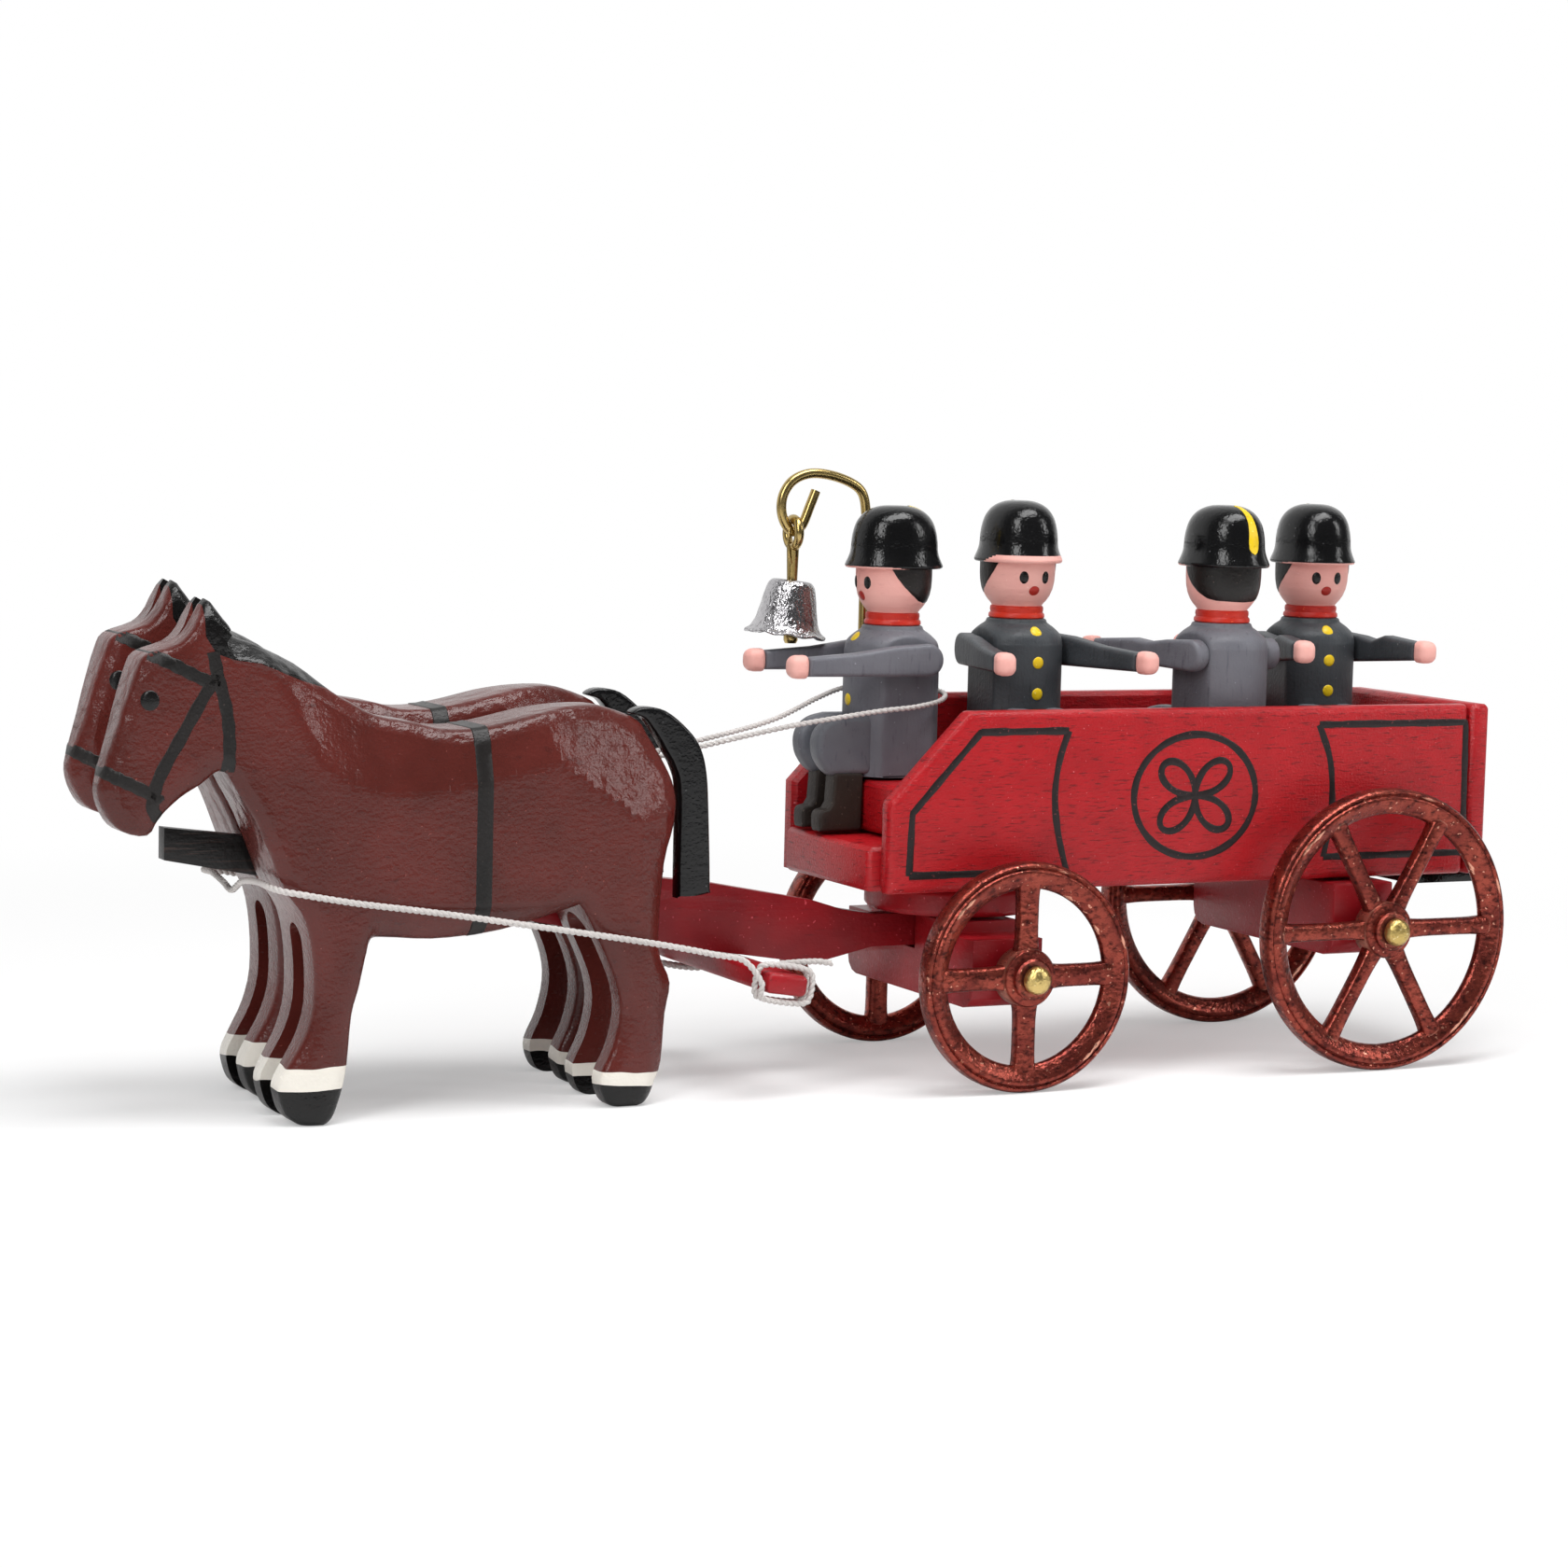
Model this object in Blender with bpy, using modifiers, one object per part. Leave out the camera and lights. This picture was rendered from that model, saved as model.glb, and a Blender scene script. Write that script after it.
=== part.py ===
"""Horse-drawn fire wagon, a painted wooden miniature.

Two sawn horses stand either side of a flat pole. The pole is let into the front bolster, which
steers under a round turntable. Four turned firemen sit in an open wagon on four spoked wheels,
and a small bell hangs from a wire hook beside the driver.

The frame is in metres: X runs to the rear of the wagon, Y to the driver's right hand, which is
the side that carries the bell, and Z up from the ground. The origin is the middle of the
footprint.
"""
import math

import bmesh
import bpy
from mathutils import Matrix, Vector

PART_NAME = "fire_wagon"
CUTTER_NAME = "cutters"

# Clearances
GAP = 0.0003
RUN_GAP = 0.00008
TRIM = 0.0005
WELD = 0.00001
MOST_BEVEL = 0.45

# Sides of round pieces
SMALL_SIDES = 12
ROUND_SIDES = 16
BELL_SIDES = 24
DISC_SIDES = 32

# Layout along the wagon, measured from the front axle
NOSE_REACH = 0.0937
BODY_FRONT_REACH = 0.0138
BODY_LENGTH = 0.0728
STEP_PROJECTION = 0.0023
REAR_OVERHANG = 0.0156
WHEELBASE = BODY_LENGTH - BODY_FRONT_REACH - REAR_OVERHANG
REAR_REACH = BODY_LENGTH - BODY_FRONT_REACH + STEP_PROJECTION
FRONT_AXLE_X = (NOSE_REACH - REAR_REACH) / 2
REAR_AXLE_X = FRONT_AXLE_X + WHEELBASE
BODY_FRONT_X = FRONT_AXLE_X - BODY_FRONT_REACH
BODY_REAR_X = BODY_FRONT_X + BODY_LENGTH

# Wagon body
BODY_BOTTOM = 0.0200
BODY_HEIGHT = 0.0184
BODY_TOP = BODY_BOTTOM + BODY_HEIGHT
BODY_HALF_WIDTH = 0.0123
BOARD_THICKNESS = 0.0024
REAR_BOARD_THICKNESS = 0.0024
SLANT_LENGTH = 0.0088
SLANT_DROP = 0.0091
FLOOR_THICKNESS = 0.0046
FOOTBOARD_PROJECTION = 0.0010
EDGE_ROUND = 0.0005
INNER_FACE_Y = BODY_HALF_WIDTH - BOARD_THICKNESS
SIDE_REAR_X = BODY_REAR_X - REAR_BOARD_THICKNESS - GAP
FLOOR_TOP = BODY_BOTTOM + FLOOR_THICKNESS

# Seats
SEAT_TOP = 0.0302
SEAT_DEPTH = 0.0120
SEAT_FRONT_SETBACK = 0.0040
BENCH_TOP = 0.0309
BENCH_WIDTH = 0.0033
SEAT_FRONT_X = BODY_FRONT_X + SEAT_FRONT_SETBACK
BENCH_FRONT_X = SEAT_FRONT_X + SEAT_DEPTH + GAP

# Step under the tail of the wagon
STEP_THICKNESS = 0.0009
STEP_HALF_WIDTH = 0.0098
STEP_UNDERLAP = 0.0078
STEP_LIP_HEIGHT = 0.0020

# Wheels
REAR_WHEEL_RADIUS = 0.0150
FRONT_WHEEL_RADIUS = 0.01175
WHEEL_PLANE_Y = 0.01625
RIM_DEPTH = 0.0027
RIM_HALF_WIDTH = 0.0013
HUB_RADIUS = 0.0030
BOSS_RADIUS = 0.0021
HUB_HALF_LENGTH = 0.0012
HUB_OUTER_Y = 0.0183
REAR_SPOKES = 6
FRONT_SPOKES = 4
REAR_SPOKE_WIDTH = 0.0018
FRONT_SPOKE_WIDTH = 0.0023
SPOKE_THICKNESS = 0.0017
SPOKE_ROOT = 0.0008
SPOKE_SINK = 0.0011
HUB_EDGE = 0.0002
REAR_RIM_STEPS = 36
FRONT_RIM_STEPS = 28

# Section of a rim: share of its depth inside the tread, and share of its half-width
RIM_SECTION = ((0.0, 0.5), (0.25, 1.0), (0.7, 0.8), (1.0, 0.35))

# Nails that the wheels turn on
NAIL_RADIUS = 0.0006
NAIL_HEAD_RADIUS = 0.00145
NAIL_HEAD_HEIGHT = 0.0013
NAIL_EDGE = 0.0003
NAIL_DEPTH = 0.0055

# Bolsters and turntable
BOLSTER_HALF_LENGTH = 0.0140
FRONT_BOLSTER_FRONT = 0.0048
FRONT_BOLSTER_REAR = 0.0032
FRONT_BOLSTER_BOTTOM = 0.0082
FRONT_BOLSTER_END_DROP = 0.0012
FRONT_BOLSTER_MIDDLE = 0.0088
REAR_BOLSTER_FRONT = 0.0048
REAR_BOLSTER_REAR = 0.0026
REAR_BOLSTER_BOTTOM = 0.0119
BOLSTER_CORNER = 0.0020
DISC_RADIUS = 0.0091
DISC_THICKNESS = 0.0029
DISC_TOP = BODY_BOTTOM - GAP
DISC_BOTTOM = DISC_TOP - DISC_THICKNESS
FRONT_BOLSTER_TOP = DISC_BOTTOM - GAP
PIN_RADIUS = 0.0006
PIN_HEAD_RADIUS = 0.0016
PIN_HEAD_HEIGHT = 0.0008
PIN_GRIP = 0.0030
PIN_HEAD_TAPER = 0.75

# Pole
POLE_HALF_THICKNESS = 0.00095
POLE_SETBACK = 0.0084
POLE_FRONT_TOP = 0.02745
POLE_FRONT_BOTTOM = 0.02435
POLE_TENON = 0.0030
POLE_TAIL_BOTTOM = 0.0131
POLE_BELLY_BOTTOM = 0.0116
POLE_SHOULDER_TOP = 0.0203
POLE_SHOULDER_BOTTOM = 0.0134
POLE_SHOULDER_REACH = 0.0280
POLE_BELLY_REACH = 0.0163
POLE_BELLY_RISE = 0.0016
POLE_WAIST_RISE = 0.0006
POLE_WAIST_LENGTH = 0.0035

# Swingletree under the pole
SWINGLETREE_LAG = 0.0684
SWINGLETREE_REACH = NOSE_REACH - SWINGLETREE_LAG
SWINGLETREE_DEPTH = 0.0045
SWINGLETREE_HEIGHT = 0.0021
SWINGLETREE_HALF_LENGTH = 0.0136

# Horses
HORSE_CENTRE_Y = 0.0067
HORSE_HALF_THICKNESS = 0.0054
TAIL_REACH = 0.0624
EAR_NOTCH_LENGTH = 0.0080
FORE_SLOT_HALF = 0.0016
HIND_SLOT_HALF = 0.0025
SLOT_TOP = 0.0165
TAIL_HALF_THICKNESS = 0.0010
HORSE_CHAMFER = 0.0006
EAR_NOTCH_HALF = 0.0013
EAR_NOTCH_DEPTH = 0.0036
FORE_SLOT_REAR = 0.0300
HIND_SLOT_FRONT = 0.0450
FAR_HORSE_SETBACK = 0.0009
FAR_HORSE_STRETCH = 1.02
PEG_RADIUS = 0.0008
PEG_DEPTH = 0.0030
PEG_REACHES = (0.0610, 0.0490)

# Thread of the traces and the reins
THREAD_RADIUS = 0.00035
THREAD_STEP = 0.0034
THREAD_TURN = 48.0
WINDING_POINTS = 12
WINDING_TURNS = 1.75
WINDING_PITCH = 0.0013
WINDING_ROOM = 0.0001
WINDING_Y = 0.0112

# Bell, its hook and its clapper
HOOK_WIRE_RADIUS = 0.00052
HOOK_SINK = 0.0060
HOOK_STEP = 0.0016
HOOK_BEND_Z = 0.0545
BELL_X = FRONT_AXLE_X - 0.0140
BELL_PIVOT_Z = 0.0555
HOOK_POST_REACH = 0.0055
EYE_WIRE_RADIUS = 0.00045
EYE_RADIUS = 0.00145
BELL_TOP = 0.0504
BELL_HEIGHT = 0.0058
BELL_TILT = 7.0
BELL_WALL = 0.0005
BELL_TOP_RADIUS = 0.0021
BELL_RIM_RADIUS = 0.0043
BEAD_RADIUS = 0.0009
BEAD_HEIGHT = 0.0008
CLAPPER_LENGTH = 0.0047
CLAPPER_ROD_RADIUS = 0.0004
CLAPPER_BOB_RADIUS = 0.00075
CLAPPER_BOB_HEIGHT = 0.0012
CLAPPER_BOB_NECK = 0.0004
CLAPPER_BOB_EDGE = 0.0003
CLAPPER_BOB_TAPER = 0.7

# Flare of the bell: share of the way out from the crown to the rim, and down to the rim
BELL_FLARE = ((0.20, 0.11), (0.37, 0.39), (0.53, 0.66), (0.77, 0.85))

# Firemen, each in its own frame: origin on the seat under the torso's axis, facing -X
FIGURE_STEPS = 20
TORSO_RADIUS = 0.0050
TORSO_EDGE = 0.0002
SHOULDER_HEIGHT = 0.0158
COLLAR_HEIGHT = 0.0012
COLLAR_RADIUS = 0.00275
HEAD_RADIUS = 0.0038
HEAD_TOP = 0.0213
HELMET_HALF_LENGTH = 0.00526
HELMET_HALF_WIDTH = 0.00446
HELMET_HEIGHT = 0.0065
HELMET_BRIM_HEIGHT = 0.0008
HELMET_BRIM_EDGE = 0.0003
HELMET_DOME_SHARE = 0.84
HELMET_UNDERSIDE_SHARE = 0.9
LEG_HALF_WIDTH = 0.0032
LEG_SLOT_HALF = 0.0009
LEG_JOIN = 0.0004
LEG_BACK = 0.0045
BOOT_TOE = 0.0095
SOLE_DROP = 0.0056
KNEE_REACH = 0.0100
THIGH_HEIGHT = 0.0064
ARM_THICKNESS = 0.0019
ARM_INNER_Y = 0.0042
ARM_HEIGHT = 0.0123
ARM_REACH = 0.0145
SHOULDER_RADIUS = 0.0017
SHOULDER_SETBACK = 0.0014
HAND_RADIUS = 0.00115
ELBOW_REACH = 0.0045
ELBOW_SAG = 0.00065
CREW_Y = 0.0042
DRIVER_Y = 0.0042
REAR_FIREMAN_INSET = 0.0127
MIDDLE_FIREMAN_OFFSET = 0.00175
ARM_ROOM_MARGIN = 0.0030

# Swelling of a head beyond its radius, by depth under its top
HEAD_SWELL = ((0.0002, 0.0), (0.0, 0.0014), (-0.0003, 0.0030))

# Round shoulders: share of the torso's radius, by depth under the collar
SHOULDER_ROUND = ((0.68, 0.0005), (0.86, 0.0013), (0.96, 0.0023), (1.0, 0.0034))

# Knee, from the lap down: setback from its foremost point and share of the thigh's height
KNEE_CURVE = (
    (0.0024, 1.0), (0.0008, 0.875), (0.0, 0.625), (0.0002, 0.375), (0.0009, 0.156), (0.0016, 0.03),
)

# Toe of a boot: setback from its tip and height above the sole
TOE_CURVE = ((0.0015, 0.0030), (0.0003, 0.0025), (0.0, 0.0021), (0.0, 0.0))

# Where the three passengers sit, measured behind the front axle: the rear one keeps its distance
# from the wagon's rear, and the middle one sits just behind the middle between the other two
FRONT_FIREMAN_X = 0.0092
REAR_FIREMAN_X = BODY_LENGTH - BODY_FRONT_REACH - REAR_FIREMAN_INSET
MIDDLE_FIREMAN_X = (FRONT_FIREMAN_X + REAR_FIREMAN_X) / 2 + MIDDLE_FIREMAN_OFFSET

# Each fireman: distance behind the front axle, side, seat, turn of the body about Z and splay of
# the arms in degrees, where 0 faces forward and 90 the near side, and drop of the hands
CREW = {
    "driver": (-0.0056, DRIVER_Y, SEAT_TOP + GAP, 0.0, 0.0, 0.0006),
    "front_fireman": (FRONT_FIREMAN_X, CREW_Y, BENCH_TOP + GAP, 90.0, 13.0, 0.0006),
    "middle_fireman": (MIDDLE_FIREMAN_X, -CREW_Y, BENCH_TOP + GAP, -80.0, 6.0, 0.0),
    "rear_fireman": (REAR_FIREMAN_X, CREW_Y, BENCH_TOP + GAP, 83.0, 8.0, -0.0004),
}

# Side outline of a horse: distance behind the nose and height above the ground
HORSE_OUTLINE = (
    (0.0098, 0.0496), (0.0084, 0.0469), (0.0070, 0.0455), (0.0041, 0.0445), (0.0032, 0.0430),
    (0.0023, 0.0402), (0.0014, 0.0370), (0.0004, 0.0338), (0.0000, 0.0317), (0.0007, 0.0296),
    (0.0021, 0.0281), (0.0044, 0.0277), (0.0055, 0.0294), (0.0074, 0.0312), (0.0093, 0.0324),
    (0.0113, 0.0337), (0.0127, 0.0318), (0.0144, 0.0289), (0.0159, 0.0254), (0.0172, 0.0224),
    (0.0190, 0.0197), (0.0198, 0.0160), (0.0199, 0.0115), (0.0191, 0.0084), (0.0177, 0.0058),
    (0.0169, 0.0040), (0.0172, 0.0024), (0.0182, 0.0009), (0.0193, 0.0000), (0.0208, 0.0000),
    (0.0215, 0.0018), (0.0224, 0.0038), (0.0233, 0.0058), (0.0237, 0.0104), (0.0244, 0.0130),
    (0.0254, 0.0170), (0.0270, 0.0175), (0.0322, 0.0171), (0.0377, 0.0175), (0.0417, 0.0184),
    (0.0461, 0.0198), (0.0472, 0.0197), (0.0496, 0.0152), (0.0510, 0.0118), (0.0513, 0.0090),
    (0.0506, 0.0059), (0.0494, 0.0031), (0.0498, 0.0013), (0.0510, 0.0000), (0.0532, 0.0000),
    (0.0546, 0.0016), (0.0561, 0.0040), (0.0565, 0.0089), (0.0571, 0.0119), (0.0559, 0.0144),
    (0.0556, 0.0170), (0.0562, 0.0237), (0.0574, 0.0275), (0.0576, 0.0309), (0.0568, 0.0333),
    (0.0552, 0.0361), (0.0541, 0.0377), (0.0506, 0.0390), (0.0485, 0.0393), (0.0453, 0.0391),
    (0.0421, 0.0385), (0.0390, 0.0378), (0.0359, 0.0373), (0.0328, 0.0373), (0.0303, 0.0379),
    (0.0265, 0.0386), (0.0239, 0.0399), (0.0219, 0.0410), (0.0187, 0.0435), (0.0143, 0.0455),
    (0.0128, 0.0461), (0.0113, 0.0478),
)

# How far the sawn block is pinched in: half-width by height above the ground
HORSE_WIDTH_BY_HEIGHT = ((0.0, 0.0054), (0.0303, 0.0054), (0.0406, 0.0033), (0.0510, 0.0026))

# And half-width by distance behind the nose
HORSE_WIDTH_BY_REACH = (
    (0.0, 0.0018), (0.0048, 0.0027), (0.0120, 0.0034), (0.0203, 0.0054), (0.0519, 0.0054),
    (0.0576, 0.0040),
)

# Side outline of a tail, a flat hooked strip behind the rump
TAIL_OUTLINE = (
    (0.0536, 0.0383), (0.0548, 0.0389), (0.0572, 0.0385), (0.0597, 0.0366), (0.0611, 0.0347),
    (0.0618, 0.0321), (0.0621, 0.0281), (TAIL_REACH, 0.0212), (0.0622, 0.0202), (0.0593, 0.0200),
    (0.0590, 0.0208), (0.0589, 0.0300), (0.0584, 0.0326), (0.0572, 0.0347), (0.0561, 0.0364),
    (0.0549, 0.0378),
)

# Wire of the bell hook above the board: distance ahead of the front axle and height
HOOK_ROUTE = (
    (0.0055, 0.0575), (0.0060, 0.0596), (0.0074, 0.0607), (0.0098, 0.06145), (0.0122, 0.0616),
    (0.0141, 0.0609), (0.0152, 0.0595), (0.01545, 0.0579), (0.0150, 0.0564), (0.0140, 0.0555),
    (0.0130, 0.0562), (0.0121, 0.0583), (0.0115, 0.0598),
)

# Trace thread from the winding on the near end of the swingletree round the near horse's chest:
# distance ahead of the front axle, side and height
TRACE_TAIL = ((0.0190, -0.0104, 0.0131), (0.0210, -0.0106, 0.0134))
TRACE_HALF_ROUTE = (
    (0.0300, -0.0131, 0.0142), (0.0330, -0.0131, 0.0149), (0.0410, -0.0129, 0.0165),
    (0.0600, -0.0127, 0.0197), (0.0700, -0.0127, 0.0212), (0.0755, -0.0125, 0.0222),
    (0.0772, -0.0117, 0.0225), (0.0779, -0.0100, 0.0227), (0.0780, -0.0070, 0.0228),
    (0.0782, -0.0030, 0.0224),
)
TRACE_MIDDLE = (0.0783, 0.0, 0.0220)
TRACE_FAR_DROP = 0.0008

# Rein thread: its ends are let into two holes in the top of the pole, between the horses
REIN_HOLES = (0.0670, 0.0700)
REIN_HOLE_DEPTH = 0.0020
REIN_NEAR_ROUTE = (
    (0.0664, -0.0001, 0.0264), (0.0650, -0.0003, 0.0270), (0.0620, -0.0006, 0.0276),
    (0.0450, -0.0006, 0.0310), (0.0300, -0.0006, 0.0341),
)
REIN_ROUND_BACK = (
    (0.0200, -0.0009, 0.0361), (0.0130, -0.0015, 0.0372), (0.0090, -0.0016, 0.0377),
    (0.0058, -0.0017, 0.0380), (0.0026, -0.0006, 0.0384), (0.0005, 0.0016, 0.0388),
    (-0.0003, 0.0042, 0.0391), (0.0005, 0.0068, 0.0393), (0.0026, 0.0089, 0.0394),
    (0.0056, 0.0098, 0.0394), (0.0090, 0.0091, 0.0391), (0.0130, 0.0070, 0.0382),
    (0.0200, 0.0034, 0.0363),
)
REIN_FAR_ROUTE = (
    (0.0300, 0.00075, 0.0345), (0.0450, 0.00065, 0.0314), (0.0640, 0.0006, 0.0280),
    (0.0678, 0.0003, 0.02755), (0.0694, 0.0001, 0.0269),
)

# Pieces that steer with the front axle, and pieces that swing with the bell
FRONT_CARRIAGE = (
    "front_bolster", "pole", "swingletree", "horse_peg_front", "horse_peg_rear", "horse_near",
    "horse_far", "tail_near", "tail_far", "front_nail_near", "front_nail_far", "front_wheel_near",
    "front_wheel_far", "trace_thread",
)
BELL_PIECES = ("bell_cup", "bell_hanger", "bell_clapper")

materials = {}
parts = None
cutters = None


def clear_scene():
    """Removes every object, so that the model starts from nothing."""
    for thing in list(bpy.data.objects):
        bpy.data.objects.remove(thing, do_unlink=True)


def make_collection(name):
    """Makes a collection under the scene's own."""
    collection = bpy.data.collections.new(name)
    bpy.context.scene.collection.children.link(collection)
    return collection


def finish(name, colour, roughness, metallic=0.0):
    """Returns a Principled material with a linear colour, roughness and metallic value."""
    if name not in materials:
        material = bpy.data.materials.new(name)
        material.use_nodes = True
        shader = material.node_tree.nodes["Principled BSDF"]
        shader.inputs["Base Color"].default_value = (*colour, 1.0)
        shader.inputs["Roughness"].default_value = roughness
        shader.inputs["Metallic"].default_value = metallic
        material.diffuse_color = (*colour, 1.0)
        materials[name] = material
    return materials[name]


def red_paint():
    return finish("red_paint", (0.40, 0.012, 0.018), 0.30)


def horse_paint():
    return finish("horse_paint", (0.17, 0.030, 0.022), 0.25)


def black_paint():
    return finish("black_paint", (0.010, 0.010, 0.011), 0.20)


def coat_paint():
    return finish("coat_paint", (0.115, 0.12, 0.14), 0.45)


def boot_paint():
    return finish("boot_paint", (0.035, 0.024, 0.018), 0.55)


def copper():
    return finish("copper", (0.36, 0.09, 0.055), 0.35, 0.9)


def brass():
    return finish("brass", (0.62, 0.46, 0.17), 0.25, 1.0)


def silver():
    return finish("silver", (0.75, 0.75, 0.76), 0.22, 1.0)


def thread():
    return finish("thread", (0.82, 0.80, 0.78), 0.80)


def plain_wood():
    return finish("plain_wood", (0.60, 0.42, 0.24), 0.60)


def add_object(name, mesh, material=None, parent=None):
    """Links a mesh into the parts, or among the cutters when it has no material."""
    thing = bpy.data.objects.new(name, mesh)
    if material is None:
        cutters.objects.link(thing)
        thing.hide_render = True
        thing.display_type = "WIRE"
    else:
        parts.objects.link(thing)
        mesh.materials.clear()
        mesh.materials.append(material)
    thing.parent = parent
    return thing


def add_empty(name, place, turn=0.0):
    """Adds an empty that carries pieces, turned about Z by an angle in degrees."""
    empty = bpy.data.objects.new(name, None)
    parts.objects.link(empty)
    empty.location = place
    empty.rotation_euler = (0.0, 0.0, math.radians(turn))
    empty.empty_display_size = 0.005
    return empty


def carry(names, empty):
    """Hangs pieces, with their cutters, on an empty that stands on their joint's axis."""
    bpy.context.view_layer.update()
    inverse = empty.matrix_world.inverted()
    for name in names:
        piece = bpy.data.objects[name]
        for thing in [piece] + [modifier.object for modifier in piece.modifiers]:
            thing.parent = empty
            thing.matrix_parent_inverse = inverse


def evaluated_mesh(thing):
    """Returns a new mesh with the modifiers applied and its loose caps welded."""
    bpy.context.view_layer.update()
    graph = bpy.context.evaluated_depsgraph_get()
    mesh = bpy.data.meshes.new_from_object(thing.evaluated_get(graph))
    work = bmesh.new()
    work.from_mesh(mesh)
    bmesh.ops.remove_doubles(work, verts=work.verts, dist=WELD)
    bmesh.ops.recalc_face_normals(work, faces=work.faces)
    work.to_mesh(mesh)
    work.free()
    return mesh


def take_mesh(thing):
    """Turns a scratch object into a mesh and removes the object."""
    mesh = evaluated_mesh(thing)
    bpy.data.objects.remove(thing, do_unlink=True)
    return mesh


def shade(mesh, angle=35.0):
    """Shades a mesh smooth, with edges sharper than the angle left crisp."""
    mesh.shade_smooth()
    mesh.set_sharp_from_angle(angle=math.radians(angle))


def box_mesh(low, high, bevel=0.0, segments=2):
    """Returns a box between two corners, with its edges rounded."""
    work = bmesh.new()
    bmesh.ops.create_cube(work, size=1.0)
    mesh = bpy.data.meshes.new("box")
    work.to_mesh(mesh)
    work.free()
    low, high = Vector(low), Vector(high)
    centre = (low + high) / 2
    size = high - low
    mesh.transform(Matrix.Translation(centre) @ Matrix.Diagonal((*size, 1.0)))
    if bevel > 0.0:
        scratch = add_object("scratch", mesh)
        rounding = scratch.modifiers.new("rounding", "BEVEL")
        rounding.width = min(bevel, min(size) * MOST_BEVEL)
        rounding.segments = segments
        mesh = take_mesh(scratch)
        shade(mesh)
    return mesh


def plate_mesh(outline, thickness, axis, centre=0.0, bevel=0.0):
    """Returns a flat outline with a thickness along X, Y or Z, its edges chamfered by bevel."""
    curve = bpy.data.curves.new("outline", "CURVE")
    curve.dimensions = "2D"
    curve.fill_mode = "BOTH"
    curve.extrude = thickness / 2 - bevel
    if bevel > 0.0:
        curve.bevel_depth = bevel
        curve.bevel_resolution = 0
        curve.offset = -bevel
    spline = curve.splines.new("POLY")
    spline.points.add(len(outline) - 1)
    for point, (across, up) in zip(spline.points, outline):
        point.co = (across, up, 0.0, 1.0)
    spline.use_cyclic_u = True
    scratch = bpy.data.objects.new("scratch", curve)
    cutters.objects.link(scratch)
    mesh = take_mesh(scratch)
    if axis == "Y":
        turn = Matrix(((1, 0, 0, 0), (0, 0, -1, centre), (0, 1, 0, 0), (0, 0, 0, 1)))
    elif axis == "X":
        turn = Matrix(((0, 0, 1, centre), (1, 0, 0, 0), (0, 1, 0, 0), (0, 0, 0, 1)))
    else:
        turn = Matrix.Translation((0.0, 0.0, centre))
    mesh.transform(turn)
    return mesh


def turned_mesh(profile, steps, closed=False):
    """Turns a profile of (radius, height) about Z; a closed profile makes a ring."""
    mesh = bpy.data.meshes.new("profile")
    edges = [(i, i + 1) for i in range(len(profile) - 1)]
    if closed:
        edges.append((len(profile) - 1, 0))
    mesh.from_pydata([(radius, 0.0, height) for radius, height in profile], edges, [])
    scratch = add_object("scratch", mesh)
    screw = scratch.modifiers.new("turning", "SCREW")
    screw.steps = steps
    screw.render_steps = steps
    screw.use_merge_vertices = True
    screw.merge_threshold = WELD
    result = take_mesh(scratch)
    shade(result)
    return result


def arc(centre, radius, start, end, count):
    """Returns points along an arc, with its angles in degrees."""
    points = []
    for i in range(count):
        angle = math.radians(start + (end - start) * i / (count - 1))
        points.append((centre[0] + radius * math.cos(angle), centre[1] + radius * math.sin(angle)))
    return points


def smooth_route(points, step=THREAD_STEP, turn=THREAD_TURN):
    """Returns points along a smooth curve through a route's points.

    A stretch between two of them is divided so that no piece is longer than the step or bends
    more than the turn, in degrees.
    """
    nodes = [Vector(point) for point in points]
    nodes = [2 * nodes[0] - nodes[1]] + nodes + [2 * nodes[-1] - nodes[-2]]
    route = []
    for i in range(1, len(nodes) - 2):
        before, start, end, after = nodes[i - 1], nodes[i], nodes[i + 1], nodes[i + 2]
        bend = math.degrees((end - before).angle(after - start))
        count = max(1, math.ceil((end - start).length / step), math.ceil(bend / turn))
        for k in range(count):
            t = k / count
            route.append(0.5 * (2 * start + (end - before) * t
                                + (2 * before - 5 * start + 4 * end - after) * t * t
                                + (3 * start - 3 * end + after - before) * t * t * t))
    route.append(nodes[-2])
    return route


def tube_mesh(points, radius, resolution=2):
    """Returns a round tube along points, with its ends closed."""
    curve = bpy.data.curves.new("wire", "CURVE")
    curve.dimensions = "3D"
    curve.bevel_depth = radius
    curve.bevel_resolution = resolution
    curve.use_fill_caps = True
    spline = curve.splines.new("POLY")
    spline.points.add(len(points) - 1)
    for point, place in zip(spline.points, points):
        point.co = (*place, 1.0)
    scratch = bpy.data.objects.new("scratch", curve)
    cutters.objects.link(scratch)
    mesh = take_mesh(scratch)
    shade(mesh, 60.0)
    return mesh


def rod_mesh(radius, start, end, sides=16):
    """Returns a round rod between two points."""
    start, end = Vector(start), Vector(end)
    run = end - start
    work = bmesh.new()
    bmesh.ops.create_cone(work, cap_ends=True, segments=sides, radius1=radius, radius2=radius,
                          depth=run.length)
    mesh = bpy.data.meshes.new("rod")
    work.to_mesh(mesh)
    work.free()
    turn = run.to_track_quat("Z", "Y").to_matrix().to_4x4()
    mesh.transform(Matrix.Translation((start + end) / 2) @ turn)
    return mesh


def moved(mesh, x=0.0, y=0.0, z=0.0):
    """Shifts a mesh and returns it."""
    mesh.transform(Matrix.Translation((x, y, z)))
    return mesh


def combine(thing, mesh, operation):
    """Cuts a mesh from an object, joins it to the object or keeps what they share."""
    tool = add_object(thing.name + "_" + operation.lower(), mesh, parent=thing.parent)
    boolean = thing.modifiers.new(operation.lower(), "BOOLEAN")
    boolean.operation = operation
    boolean.object = tool
    boolean.solver = "EXACT"


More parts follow.
